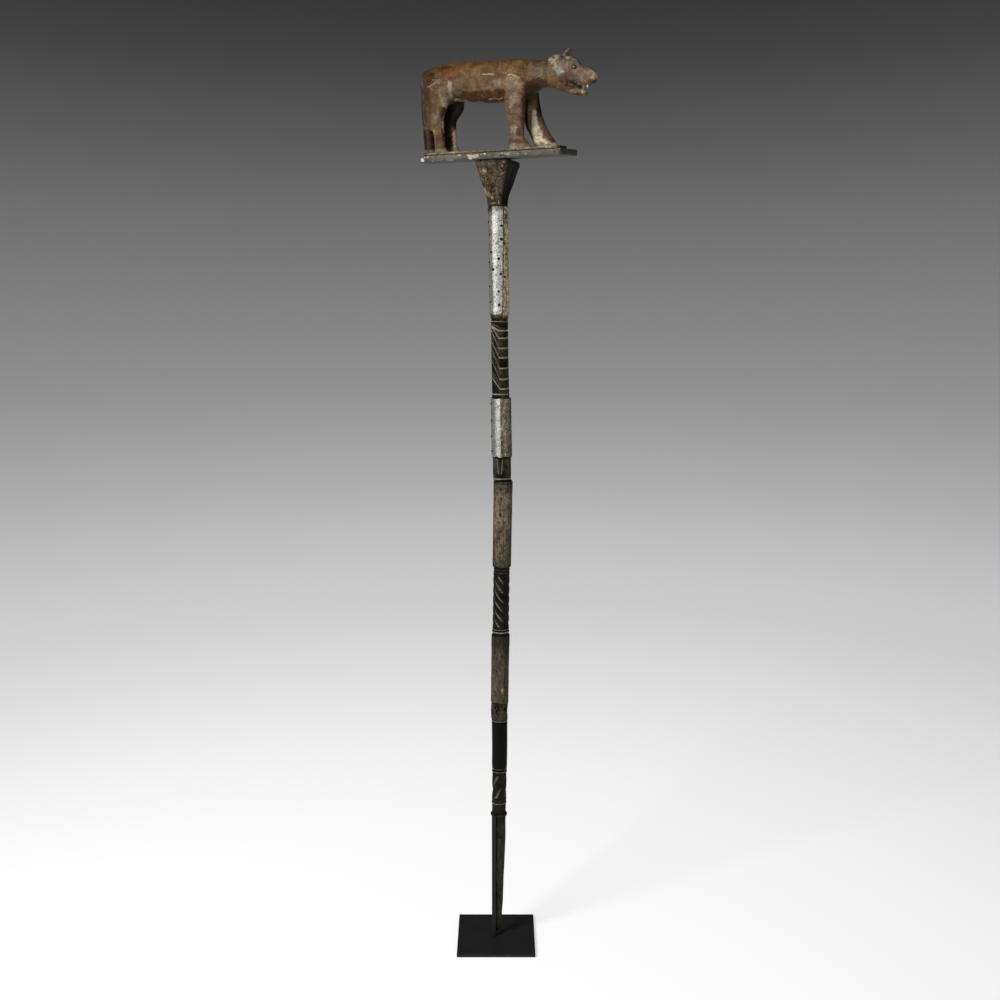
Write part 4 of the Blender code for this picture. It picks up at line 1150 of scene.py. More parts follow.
# dabs on the capital's front face: red, green and blue, then across from -1 to 1, share of
# the height, their halves, and strength
CAPITAL_DABS = [
    (0.115, 0.1, 0.08, 0, 1.1, 2, 0.1, 1), (0.07, 0.043, 0.027, 0.62, 1.06, 0.42, 0.1, 0.9),
    (0.34, 0.27, 0.22, 0.74, 1.07, 0.1, 0.02, 0.9),
    (0.165, 0.12, 0.085, -0.72, 0.86, 0.34, 0.09, 0.9),
    (0.42, 0.36, 0.28, -0.56, 0.865, 0.15, 0.035, 1),
    (0.04, 0.022, 0.01, -0.36, 0.87, 0.06, 0.1, 0.9),
    (0.05, 0.038, 0.02, -0.12, 0.88, 0.2, 0.1, 0.9),
    (0.095, 0.08, 0.062, 0.28, 0.86, 0.24, 0.1, 0.8),
    (0.062, 0.029, 0.014, 0.8, 0.88, 0.24, 0.12, 0.9),
    (0.3, 0.22, 0.16, 0.62, 0.95, 0.09, 0.025, 0.9), (0.26, 0.2, 0.15, 0.9, 0.95, 0.05, 0.03, 0.8),
    (0.34, 0.26, 0.2, 0.7, 0.78, 0.05, 0.025, 0.9), (0.24, 0.18, 0.13, 0.88, 0.81, 0.06, 0.03, 0.8),
    (0.085, 0.07, 0.062, -0.68, 0.61, 0.22, 0.14, 0.9),
    (0.085, 0.045, 0.018, -0.28, 0.57, 0.16, 0.22, 0.9),
    (0.26, 0.19, 0.11, 0, 0.64, 0.11, 0.12, 0.9), (0.11, 0.095, 0.062, 0.45, 0.62, 0.4, 0.02, 0.8),
    (0.13, 0.112, 0.072, 0.45, 0.67, 0.4, 0.012, 0.8),
    (0.13, 0.112, 0.072, 0.45, 0.58, 0.4, 0.012, 0.8),
    (0.34, 0.26, 0.22, -0.02, 0.41, 0.11, 0.035, 0.9),
    (0.11, 0.088, 0.06, 0.5, 0.42, 0.38, 0.14, 0.8), (0.34, 0.29, 0.18, -0.88, 0.31, 0.13, 0.14, 1),
    (0.2, 0.135, 0.04, -0.55, 0.27, 0.22, 0.08, 0.9),
    (0.42, 0.35, 0.2, -0.48, 0.29, 0.05, 0.04, 0.9),
    (0.165, 0.128, 0.095, 0.2, 0.24, 0.36, 0.13, 0.9),
    (0.46, 0.39, 0.3, -0.2, 0.18, 0.11, 0.035, 1),
    (0.035, 0.024, 0.012, -0.85, 0.1, 0.2, 0.08, 0.9),
    (0.44, 0.35, 0.28, -0.05, 0.045, 0.26, 0.018, 1),
    (0.36, 0.28, 0.22, 0.46, 0.07, 0.05, 0.05, 0.9),
]


class CarveCapital(bpy.types.Operator):
    """Carve the flared capital with its ribs and top band"""
    bl_idname = "staff.carve_capital"
    bl_label = "Carve Capital"

    def execute(self, context):
        own, yaw = settings("capital"), settings("animal").yaw
        low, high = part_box("capital")
        bottom, top = low[2] + 0.0001, high[2]
        band = top - own.band
        heights = np.concatenate([np.linspace(bottom, band - 0.0003, 96),
                                  np.linspace(band + 0.0002, top - 0.0007, 12),
                                  [top - 0.0001]])

        def radius_at(around, height):
            share = (height - bottom) / (band - bottom)
            radius, cut = self.outline(own, around - yaw, share)
            rings = sum(hill(share, 0.60 + 0.055 * step, 0.010) for step in range(4))
            on_rib = fade(cut, 0.6, 0.2) * np.abs(np.cos(2.0 * (around - yaw)))
            flutes = 0.00035 * np.sin(around * 64.0) * fade(share, 0.75, 0.5)
            radius = radius + flutes * fade(share, 0.02, 0.1) - 0.0006 * rings * on_rib
            rough = ring_grain(around, height, radius, 0.007, 11, 2.0)
            turn = from_front(around - yaw)
            marks = {"gilt": 0.3 * fade(share, 1.0, 0.95) * fade(turn, 0.8, 0.6),
                     # painted shade in the grooves
                     "groove": fade(cut, 0.45, 0.95),
                     "laid_colour": self.paint(own, turn, share, rough)}
            radius = np.where(height > top - 0.0006, radius - 0.0007, radius)
            return radius + 0.0004 * rough, marks

        x, y = (low[0] + high[0]) / 2.0, (low[1] + high[1]) / 2.0
        piece = turned_piece("capital_carving", [(bottom, x), (top, x)], heights, CAPITAL_SIDES,
                             radius_at, y=y)
        finish_piece(piece, capital_finish(own), "capital_wood", "capital", sharp=45.0)
        return {"FINISHED"}

    def outline(self, own, around, share):
        """Round at the neck, square at the top, with two broad ribs on each face."""
        rising = np.clip(share, 0.0, 1.0)
        half = own.neck + (own.half - 0.0012 - own.neck) * rising ** 1.45
        half = np.where(share > 1.0, own.half, half)
        power = 2.0 + 34.0 * fade(share) ** 2.5
        spread = np.abs(np.cos(around)) ** power + np.abs(np.sin(around)) ** power
        cut = (0.5 + 0.5 * np.cos(8.0 * around)) * np.abs(np.cos(2.0 * around))
        cut = cut * np.sin(np.pi * rising) ** 0.5 * (share < 1.0)
        return half * spread ** (-1.0 / power) - own.rib * cut, cut

    def paint(self, own, turn, share, rough):
        """The front face's dabs, and painted shade on the face to its right."""
        laid = np.tile(np.array(own.wood), (*turn.shape, 1))
        side = np.sin(turn) / np.abs(np.cos(turn)).clip(0.004) + 0.10 * rough
        facing = np.abs(turn) < CUT_FACE
        for *colour, across, up, half_across, half_up, strength in CAPITAL_DABS:
            gap = ((side - across) / half_across) ** 2
            gap = gap + ((share + 0.012 * rough - up) / half_up) ** 2
            weight = fade(gap, 1.9, 0.45) * strength * facing
            laid += (np.array(colour) - laid) * weight[..., None]
        # Painted shade: the face to the right of the front goes near black.
        shaded = 0.95 * fade(turn, math.radians(31.0), CUT_FACE) * (turn < 2.6)
        laid += (np.array((0.0050, 0.0038, 0.0022)) - laid) * shaded[..., None]
        return laid


# ---------------------------------------------------------------- the shafts
# centre lines: height, x
UPPER_LINE = [(0.9222, 0.0115), (1.06, 0.0094), (1.15, 0.0073), (1.499, 0.0032)]
LOWER_LINE = [(0.0185, 0.0038), (0.261, 0.0052), (0.31, 0.006), (0.4, 0.0069), (0.454, 0.0066),
              (0.472, 0.0058), (0.4875, 0.0067), (0.62, 0.0086), (0.9222, 0.0135)]
JOINT_LOW, JOINT_HIGH = 0.9214, 0.9228      # where the lower length ends and the upper begins
FLUTE_LOW, FLUTE_HIGH = 0.9310, 0.9640
LADDER_LOW, LADDER_HIGH = 1.0840, 1.2180
LADDER_RADIUS = 0.0158
LADDER_NOTCHES = np.array([1.0923, 1.11, 1.1299, 1.1492, 1.1664, 1.1847, 1.1984])
LADDER_EDGES = [math.radians(degrees) for degrees in (-6.0, 86.0, 186.0, 266.0, 354.0)]
TWIST_LOW, TWIST_HIGH = 0.6350, 0.7430
REVERSE_LOW, REVERSE_HIGH = 0.2915, 0.3460
LOZENGE_LOW, LOZENGE_HIGH = 0.4565, 0.4865
LOZENGES, LOZENGE_TURN = 6.0, math.radians(52.0)    # how many round the shaft, and where
FLUTES = 5.0                                        # how many round the shaft
# outlines: height, radius
UPPER_SHAPE = [
    (JOINT_HIGH, 0.0165), (0.924, 0.0169), (0.9262, 0.017), (0.9272, 0.0166), (0.928, 0.0163),
    (0.9288, 0.0167), (FLUTE_LOW, 0.017), (FLUTE_HIGH, 0.0173), (0.9655, 0.018), (1.0755, 0.018),
    (1.0768, 0.0158), (1.0785, 0.0158), (1.08, 0.0163), (1.0815, 0.0163), (1.0828, 0.0155),
    (1.084, 0.0155), (1.085, LADDER_RADIUS), (LADDER_HIGH - 0.004, LADDER_RADIUS),
    (LADDER_HIGH, 0.0149), (1.229, 0.0174), (1.421, 0.0174),
]
LOWER_SHAPE = [
    (0.0215, 0.0056), (0.03, 0.0065), (0.045, 0.0076), (0.072, 0.0089), (0.11, 0.0103),
    (0.166, 0.0119), (0.205, 0.0129), (0.252, 0.0133), (0.2826, 0.0136), (0.2836, 0.0143),
    (0.2866, 0.0144), (0.2878, 0.0135), (0.2888, 0.0135), (0.2895, 0.014), (0.2906, 0.0137),
    (REVERSE_LOW, 0.014), (REVERSE_HIGH, 0.014), (0.3476, 0.0138), (0.3486, 0.0146),
    (0.3512, 0.0146), (0.3522, 0.0138), (0.3542, 0.0138), (0.355, 0.0146), (0.3572, 0.0146),
    (0.3582, 0.014), (0.3602, 0.0147), (0.451, 0.0151), (0.4518, 0.0147), (0.4526, 0.0154),
    (0.4536, 0.0154), (0.4544, 0.0149), (LOZENGE_LOW, 0.0158), (LOZENGE_HIGH, 0.0161),
    (0.4876, 0.0159), (0.624, 0.0164), (0.6262, 0.0153), (0.6278, 0.0153), (0.629, 0.0164),
    (0.6312, 0.0165), (0.6322, 0.0154), (0.6334, 0.0159), (0.6346, 0.0159), (0.6356, 0.0156),
    (TWIST_HIGH, 0.0156), (0.744, 0.0148), (0.745, 0.0154), (0.7464, 0.0154), (0.7474, 0.0148),
    (0.7496, 0.0148), (0.7506, 0.0154), (0.7518, 0.0154), (0.7528, 0.0148), (0.755, 0.0149),
    (0.756, 0.0167), (0.92, 0.0172), (JOINT_LOW, 0.0168),
]
# rings that hold pale dust: height, half width, how pale
PALE_RINGS = [
    (0.2852, 0.0009, 0.8), (0.29, 0.0008, 0.55), (0.35, 0.0012, 0.66), (0.3562, 0.0012, 0.6),
    (0.4531, 0.0008, 0.9), (0.63, 0.0013, 0.95), (0.6352, 0.0009, 0.7), (0.7458, 0.001, 0.55),
    (0.7515, 0.001, 0.55), (0.9254, 0.0024, 0.66), (1.0824, 0.0018, 0.8), (1.215, 0.0011, 0.75),
]


def ring_dust(height):
    return sum(hill(height, place, half) * pale for place, half, pale in PALE_RINGS)


def spaced(stretches):
    """Row heights from (low, high, step) stretches, each row once."""
    rows = [np.arange(*stretch) for stretch in stretches]
    return np.concatenate([*rows, [stretches[-1][1]]])


def ladder_cut(around, height):
    """How deep the notches, the lines that part the panels and the cuts between notches are."""
    turn = (around - FRONT - LADDER_EDGES[0]) % TURN
    places = [edge - LADDER_EDGES[0] for edge in LADDER_EDGES]
    # the notches climb with the angle: level in two panels, slanting in the others
    rise = np.interp(turn, places, [0.0, 0.0, 1.0, 1.0, 0.0])
    straight = 1.75 * np.interp(np.sin(around - FRONT), np.sin(LADDER_EDGES[3:]), [1.0, 0.0])
    rise = np.where(turn > places[3], straight, rise)
    slanting = fade(rise, 0.02, 0.12) * ((rise < 0.98) | (rise > 1.001))
    notch, between, part = np.zeros((3, *around.shape))
    above = np.append(LADDER_NOTCHES[1:], LADDER_HIGH)
    for index, (low, high) in enumerate(zip(LADDER_NOTCHES, above)):
        ends = fade((index + 1.2) / 2.0) * fade((len(above) - index - 0.4) / 2.0)
        gap = height - (low + (high - low) * ends * rise)
        notch = np.maximum(notch, fade(np.abs(gap), 0.0026, 0.0007))
        for share in (0.34, 0.67):
            line = fade(np.abs(gap - share * (high - low)), 0.0015, 0.0003)
            between = np.maximum(between, line * slanting)
    for place in places[1:]:
        part = np.maximum(part, hill(turn, place, 0.045))
    inside = fade(height, LADDER_LOW + 0.002, LADDER_LOW + 0.006)
    inside = inside * fade(height, LADDER_HIGH - 0.004, LADDER_HIGH - 0.009)
    return notch * inside, part * inside * 0.35, between * inside


class CarveUpperShaft(bpy.types.Operator):
    """Carve the upper length of the shaft: ladder notches, flutes and rings"""
    bl_idname = "staff.carve_upper_shaft"
    bl_label = "Carve Upper Shaft"

    def execute(self, context):
        own = settings("shaft")
        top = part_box("upper_shaft")[1][2] - 0.0001
        heights = spaced([(JOINT_HIGH, 0.968, 0.0006), (0.968, 1.072, 0.013),
                          (1.072, 1.231, 0.0006), (1.231, top, 0.02)])
        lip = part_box("top_sleeve")[0][2]
        shape = UPPER_SHAPE + [(lip + 0.0086, 0.0149)]

        def radius_at(around, height):
            notch, part, second = ladder_cut(around, height)
            cut = np.maximum(notch, np.maximum(part * 0.6, second * 0.5))
            radius = along(shape, height) - own.ladder_depth * cut
            fluted = fade(height, FLUTE_LOW, FLUTE_LOW + 0.004)
            fluted = fluted * fade(height, FLUTE_HIGH, FLUTE_HIGH - 0.003)
            cell = (around - FRONT) * FLUTES / TURN + 0.2
            cell = np.abs(cell - np.round(cell))
            share = np.clip((height - FLUTE_LOW) / (FLUTE_HIGH - FLUTE_LOW), 0.0, 1.0)
            scored = fade(np.abs(cell - 0.09 - 0.17 * share ** 0.7), 0.085, 0.030) * fluted
            radius = radius - 0.0011 * fade(cell, 0.40, 0.48) * fluted - 0.0004 * scored
            rough = ring_grain(around, height, radius, 0.0055, 31, 3.0)
            dust = 0.88 * np.maximum(notch, np.maximum(part, second * 0.8)) + 0.58 * scored
            turn = from_front(around)
            panels = np.maximum(fade(turn, -0.40, -0.08), fade(turn, -1.4, -1.7))
            rubbed = (0.10 + 0.62 * panels) * fade(height, FLUTE_HIGH, FLUTE_HIGH + 0.02)
            marks = {"dust": (dust + ring_dust(height)).clip(0.0, 1.0),
                     "rubbed": rubbed + 0.8 * (height < FLUTE_HIGH)}
            return radius + 0.00022 * rough * ((height < 0.966) | (height > 1.075)), marks

        def rise_at(around, height, radius):
            return 0.014 * radius * np.cos(around) * fade(height, JOINT_HIGH + 0.004, JOINT_HIGH)

        piece = turned_piece("upper_shaft_carving", UPPER_LINE, heights, own.sides, radius_at,
                             rise_at)
        finish = shaft_finish(own, "shaft_wood", (0.060, 0.050, 0.028))
        finish_piece(piece, finish, "shaft_wood", "upper_shaft", sharp=50.0)
        return {"FINISHED"}


def twist_tree(finish):
    """Geometry nodes that cut winding grooves into a plain turned shaft between two heights."""
    make = GeometryTree("winding_grooves", Low=0.0, High=1.0, Strands=6, Lead=0.1, Depth=0.001,
                        Fade=0.006, Dust=1.0, **{"Base x": 0.0, "Lean": 0.0})
    given, reckon, times = make.source, make.math, make.times
    place = make.tree.nodes.new("ShaderNodeSeparateXYZ")
    make.put(place.inputs[0], make.add("GeometryNodeInputPosition"))
    x, y, z = place.outputs
    above = reckon("SUBTRACT", z, given["Low"])
    centre = reckon("MULTIPLY_ADD", above, given["Lean"], given["Base x"])
    across = reckon("SUBTRACT", x, centre)
    radius = reckon("SQRT", reckon("ADD", times(across, across), times(y, y)))
    winding = reckon("DIVIDE", times(above, TURN), given["Lead"])
    strand = times(reckon("SUBTRACT", reckon("ARCTAN2", y, across), winding), given["Strands"])
    wave = reckon("SUBTRACT", 1.0, reckon("COSINE", strand))
    hollow = reckon("POWER", times(wave, 0.5), 2.2)
    from_low = reckon("DIVIDE", above, given["Fade"])
    from_high = reckon("DIVIDE", reckon("SUBTRACT", given["High"], z), given["Fade"])
    inside = reckon("MINIMUM", reckon("MINIMUM", from_low, from_high), 1.0)
    cut = times(hollow, reckon("MAXIMUM", inside, 0.0))

    shrink = reckon("DIVIDE", times(cut, given["Depth"]), radius)
    shift = make.add("ShaderNodeCombineXYZ", {
        0: times(times(across, shrink), -1.0), 1: times(times(y, shrink), -1.0)})
    moved = make.add("GeometryNodeSetPosition", {"Geometry": given["Geometry"], "Offset": shift})

    # Pale dust in the cuts, laid only on the lit left front: dust and painted highlight.
    fine = times(reckon("POWER", cut, 0.5), given["Dust"])
    aside = reckon("MULTIPLY_ADD", reckon("DIVIDE", across, radius), 0.80, 0.25)
    left = reckon("MAXIMUM", reckon("SUBTRACT", 0.95, times(aside, aside)), 0.0)
    before = make.add("GeometryNodeInputNamedAttribute", {"Name": "dust"}, "Attribute",
                      data_type="FLOAT")
    dusted = make.add("GeometryNodeStoreNamedAttribute", {
        "Geometry": moved, "Name": "dust", "Value": reckon("MULTIPLY_ADD", fine, left, before)},
        data_type="FLOAT", domain="POINT")
    return make.end(dusted, finish)


class CarveLowerShaft(bpy.types.Operator):
    """Carve the lower length of the shaft: two twists, lozenges, rings and the worn foot"""
    bl_idname = "staff.carve_lower_shaft"
    bl_label = "Carve Lower Shaft"

    def execute(self, context):
        own = settings("shaft")
        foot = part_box("lower_shaft")[0][2] + 0.0001
        heights = spaced([(foot, 0.27, 0.0014), (0.27, 0.36, 0.0007), (0.36, 0.444, 0.003),
                          (0.444, 0.49, 0.0006), (0.49, 0.622, 0.015), (0.622, 0.758, 0.0007),
                          (0.758, JOINT_LOW, 0.02)])
        shape = LOWER_SHAPE + [(foot, 0.0044)]

        def radius_at(around, height):
            share = np.clip((height - LOZENGE_LOW) / (LOZENGE_HIGH - LOZENGE_LOW), 0.0, 1.0)
            slant = LOZENGES * (around - FRONT - LOZENGE_TURN)
            cross = np.maximum(np.cos(slant + TURN * share), np.cos(slant - TURN * share))
            lattice = fade(cross, 0.72, 0.98) * (fade(share, 0.0, 0.16) * fade(share, 1.0, 0.84))
            radius = along(shape, height) - 0.0016 * lattice
            footed = fade(height, 0.262, 0.230)
            bark = ring_grain(around, height, radius, 0.0060, 41, 7.0)
            fine = ring_grain(around, height, radius, 0.0040, 43, 3.0)
            rubbed = fade(height, LOZENGE_LOW - 0.002, LOZENGE_LOW) * (height < 0.6)
            rubbed = rubbed + 0.22 * (height > 0.6)
            marks = {"dust": (ring_dust(height) + lattice * 0.5).clip(0.0, 1.0),
                     "foot": footed * (1.0 - 0.15 * fade(height, 0.22, 0.09)),
                     "rubbed": rubbed + 0.20 * fade(height, REVERSE_HIGH + 0.010, REVERSE_HIGH),
                     "torn": fade(height, 0.066, 0.056) * fade(height, 0.024, 0.032)}
            return radius + 0.0007 * bark * footed + 0.00016 * fine, marks

        def rise_at(around, height, radius):
            return -0.012 * radius * np.cos(around) * fade(height, JOINT_LOW - 0.004, JOINT_LOW)

        piece = turned_piece("lower_shaft_carving", LOWER_LINE, heights, own.sides, radius_at,
                             rise_at)
        finish = shaft_finish(own, "lower_shaft_wood", (0.058, 0.045, 0.028))
        tree = twist_tree(finish)
        for name, low, high, strands, lead, depth, dust in (
                ("long_twist", TWIST_LOW + 0.0015, TWIST_HIGH, own.twist_strands,
                 -own.twist_lead, own.twist_depth, 0.64),
                ("short_twist", REVERSE_LOW, REVERSE_HIGH, own.reverse_strands,
                 own.reverse_lead, own.reverse_depth, 0.60)):
            start, end = along(LOWER_LINE, [low, high])
            add_tree(piece, tree, name, Low=low, High=high, Strands=strands, Lead=lead,
                     Depth=depth, Dust=dust, Lean=float((end - start) / (high - low)),
                     **{"Base x": float(start)})
        plain_mesh(piece)
        finish_piece(piece, finish, "shaft_wood", "lower_shaft", sharp=50.0)
        return {"FINISHED"}


# ---------------------------------------------------------------- the foil sleeves
SEAM = math.radians(15.0)       # the foil's seam at its foot, from the front to the right
SEAM_LEAN = math.radians(15.0)  # how much further right it is at the top
RIM = 0.018                     # about the sleeves' radius, for the tears in their rims
ROW = 0.0011                    # height of one row of a foil's faces
# outside: height, radius.  torn: how deep the tears of the low and the high rim are.
# nails: degrees from the front, height as a share of the sleeve.  far_nails: the same on
# the far side, as columns.
SLEEVES = {
    "top_sleeve": {
        "slot": "silver_foil", "line": UPPER_LINE, "torn": (0.0009, 0.0004),
        "outside": [(1.2185, 0.0164), (1.2255, 0.0167), (1.2285, 0.0182), (1.232, 0.0186)],
        "nails": [(-68, 0.861), (-60, 0.749), (-48, 0.593), (-67, 0.509), (-35, 0.442),
                  (-68, 0.293), (-57, 0.156), (18, 0.824), (16, 0.707), (-1, 0.536),
                  (11, 0.402), (-3, 0.248), (-2, 0.129), (57, 0.921), (34, 0.672), (34, 0.375)],
        "far_nails": [(128, (0.88, 0.74, 0.60, 0.46, 0.32, 0.18)),
                      (-128, (0.90, 0.76, 0.63, 0.48, 0.33, 0.17)),
                      (180, (0.83, 0.68, 0.52, 0.37, 0.22))]},
    "middle_sleeve": {
        "slot": "silver_foil", "line": UPPER_LINE, "torn": (0.0022, 0.0010),
        "outside": [(0.965, 0.019), (0.97, 0.0193), (1.076, 0.0192)],
        "nails": [(-70, 0.90), (-70, 0.62), (-70, 0.35), (-70, 0.10)],
        "far_nails": [(178, (0.90, 0.62, 0.35, 0.10))]},
    "joint_sleeve": {
        "slot": "tarnished_foil", "line": LOWER_LINE, "torn": (0.0026, 0.0008),
        "outside": [(0.755, 0.0175), (0.76, 0.0178), (0.921, 0.0183)],
        "nails": [(-14, 0.908), (22, 0.881), (-16, 0.619), (-20, 0.347)],
        "far_nails": [(124, (0.89, 0.61, 0.33, 0.08)), (-116, (0.89, 0.61, 0.33, 0.08))]},
    "lower_sleeve": {
        "slot": "tarnished_foil", "line": LOWER_LINE, "torn": (0.0046, 0.0010),
        "outside": [(0.484, 0.0169), (0.49, 0.0172), (0.598, 0.0174), (0.602, 0.0178)],
        "nails": [(29, 0.927)],
        "far_nails": [(150, (0.92, 0.64, 0.36, 0.10))]},
}


def top_foil(turn, height, small):
    """Bright on the left, dull past the seam, with a crushed lip, painted light on the right and
    painted shade down the left edge.
    """
    seam = SEAM + SEAM_LEAN * (height - 1.22) / 0.20
    right = fade(turn, seam - 0.10, seam + 0.10) * fade(turn, math.pi, math.pi - 0.5)
    # The left edge is greyed by tarnish as painted shade.
    edge = fade(turn, -0.58, -0.74) * fade(turn, -math.pi, -2.6)
    tarnish = 0.08 + 0.82 * right + 0.24 * edge + 0.42 * fade(height, 1.403, 1.417)
    tarnish = tarnish + 0.7 * fade(height, 1.233, 1.224)
    # Painted light: past the seam, on the side in shade, the tarnish is brightened up to 3.7 times;
    # painted shade darkens the left edge.
    right = fade(turn, seam + 0.06, seam + 0.16) * fade(turn, 2.6, 1.8)
    light = 1.0 + right * (2.7 - 0.8 * fade(turn, 1.20, 1.45))
    light = light - 0.5 * hill(turn, seam + 0.04, 0.045) - 0.56 * fade(turn, -0.50, -0.78)
    light = light - 0.22 * fade(height, 1.402, 1.412)
    lip = hill(height, 1.2205, 0.0022) + 0.8 * hill(height, 1.42, 0.0014)
    corner = hill(turn, 0.75, 0.30) * hill(height, 1.398, 0.012) * fade(small, -0.2, 0.3)
    return tarnish, light * (1.0 - 0.55 * fade(height, 1.229, 1.225)), 0.9 * lip + 0.8 * corner


def middle_foil(turn, height, small):
    """Brown from the middle on, with columns of worn spots, painted light on the brown and painted
    shade at both sides.
    """
    brown = fade(turn, -0.23, 0.02) * fade(turn, math.pi, math.pi - 0.5)
    # Painted light on the brown part; painted shade towards both sides.
    light = 1.0 + 0.35 * fade(turn, -0.1, 0.1) * fade(turn, 2.6, 1.8)
    light = light - 0.62 * fade(turn, -0.28, -0.85) - 0.40 * fade(turn, 0.75, 1.15)
    columns = hill(turn, 0.02, 0.06) * fade(small, -0.4, 0.1) + 0.8 * hill(turn, 0.85, 0.05)
    spots = columns * fade(np.sin(height * TURN / 0.0125), 0.3, 0.8) * 0.9
    return 0.16 + 0.56 * brown + 0.2 * fade(height, 0.985, 0.968), light, spots


def joint_foil(turn, height, small):
    """Brown all round, darker downwards, with painted shade at both sides and dark rims."""
    light = 1.06 - 0.36 * fade(height, 0.890, 0.900) - 0.32 * fade(height, 0.834, 0.828)
    # Painted shade towards both sides.
    light = light * (1.0 - 0.35 * fade(np.abs(turn + 0.1), 0.70, 1.25))
    rim = 0.95 * hill(height, 0.917, 0.003) + 0.85 * fade(height, 0.764, 0.758)
    return 0.84, light, rim * fade(small, -0.45, 0.1)


def lower_foil(turn, height, small):
    """The brownest, with one painted highlight, a dark rim and a column of spots."""
    # Painted highlight: one bright gleam.
    gleam = 3.0 * hill(turn, 0.30, 0.12) * hill(height, 0.516, 0.0055)
    light = 0.64 + gleam - 0.30 * fade(height, 0.560, 0.600) - 0.14 * fade(turn, 0.3, 0.6)
    column = hill(turn, 0.62, 0.05) * fade(np.sin(height * TURN / 0.0096), 0.2, 0.7)
    return 1.0, light, 0.8 * column + 0.55 * fade(height, 0.599, 0.603)


class WrapSleeves(bpy.types.Operator):
    """Wrap the four foil sleeves round the shaft"""
    bl_idname = "staff.wrap_sleeves"
    bl_label = "Wrap Sleeves"

    def execute(self, context):
        own = settings("foil")
        finishes = {
            "silver_foil": foil_finish(own, "silver_foil", 0.85, 0.9, (0.034, 0.026, 0.014),
                                       (0.42, 0.38, 0.27), (1.06, 1.04, 0.98), (0.93, 1.10, 1.05)),
            "tarnished_foil": foil_finish(own, "tarnished_foil", 1.0, 0.75, (0.040, 0.030, 0.021),
                                          (0.22, 0.185, 0.13), (1.08, 0.98, 1.02),
                                          (0.92, 1.02, 0.98))}
        looks = (top_foil, middle_foil, joint_foil, lower_foil)
        for seed, (name, sleeve, look) in enumerate(zip(SLEEVES, SLEEVES.values(), looks)):
            self.wrap(name, sleeve, look, seed, own.thickness, finishes[sleeve["slot"]])
        return {"FINISHED"}

    def wrap(self, name, sleeve, look, seed, thickness, finish):
        low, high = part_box(name)
        low, high = low[2], high[2]

        def radius_at(around, height):
            radius = along(sleeve["outside"], height) - 0.00025
            turn = from_front(around)
            seam = fade(turn, SEAM - 0.05, SEAM) * fade(turn, SEAM + 0.9, SEAM + 0.05)
            crumple = ring_grain(around, height, radius, 0.016, 50 + seed, 1.5)
            small = ring_grain(around, height, radius, 0.0045, 60 + seed)
            folds = ring_grain(around, height, radius, 0.0050, 70 + seed, 3.0)
            folds = folds * fade(np.minimum(height - low, high - height), 0.010, 0.0)
            radius = radius + 0.0003 * seam + 0.0003 * crumple + 0.0001 * small + 0.00028 * folds
            if name == "middle_sleeve":
                studs = np.sin(turn * 17.0).clip(0) * np.sin(height * TURN / 0.0085).clip(0)
                radius = radius + 0.00045 * studs * fade(turn, 0.1, 0.3) * fade(turn, 2.6, 2.3)
            tarnish, light, stain = look(turn, height, small)
            return radius, {"tarnish": tarnish + 0.10 * crumple, "stain": stain.clip(0.0, 1.0),
                            "shade": light}

        def rise_at(around, height, radius):
            tear = ring_grain(around, np.zeros_like(around), RIM, 0.0085, 80 + seed)
            tear = np.clip(0.45 + tear, 0.0, 1.0)
            at_low, at_high = fade(height, low + 0.012, low), fade(height, high - 0.008, high)
            return sleeve["torn"][0] * tear * at_low - sleeve["torn"][1] * tear * at_high

        heights = np.arange(low + 0.0004, high - 0.0004, ROW)
        piece = turned_piece(name + "_foil", sleeve["line"], heights, settings("shaft").sides,
                             radius_at, rise_at, closed=False)
        wall = piece.modifiers.new("wall", "SOLIDIFY")
        wall.thickness = thickness
        wall.offset = -1.0
        plain_mesh(piece)
        finish_piece(piece, finish, sleeve["slot"], name)


# ---------------------------------------------------------------- nails
PLACE_SEED, SIZE_SEED = 12, 4


def nail_tree(finish):
    """Geometry nodes that set a flattened nail head on every point, along its normal."""
    make = GeometryTree("nail_heads", Radius=0.002, Flatness=0.6, **{"Size spread": 0.18})
    given = make.source
    head = make.add("GeometryNodeMeshUVSphere", {
        "Segments": 12, "Rings": 6, "Radius": given["Radius"]}, "Mesh")
    squash = make.add("ShaderNodeCombineXYZ", {0: 1.0, 1: 1.0, 2: given["Flatness"]})
    flat = make.add("GeometryNodeTransform", {"Geometry": head, "Scale": squash})
    outward = make.add("GeometryNodeInputNamedAttribute", {"Name": "outward"}, "Attribute",
                       data_type="FLOAT_VECTOR")
    turn = make.add("FunctionNodeAlignEulerToVector", {"Vector": outward}, axis="Z")
    size = make.add("FunctionNodeRandomValue", {
        "Seed": SIZE_SEED, 2: make.math("SUBTRACT", 1.0, given["Size spread"]),
        3: make.math("ADD", 1.0, given["Size spread"])}, 1, data_type="FLOAT")
    heads = make.add("GeometryNodeInstanceOnPoints", {
        "Points": given["Geometry"], "Instance": flat, "Rotation": turn, "Scale": size})
    return make.end(heads, finish)


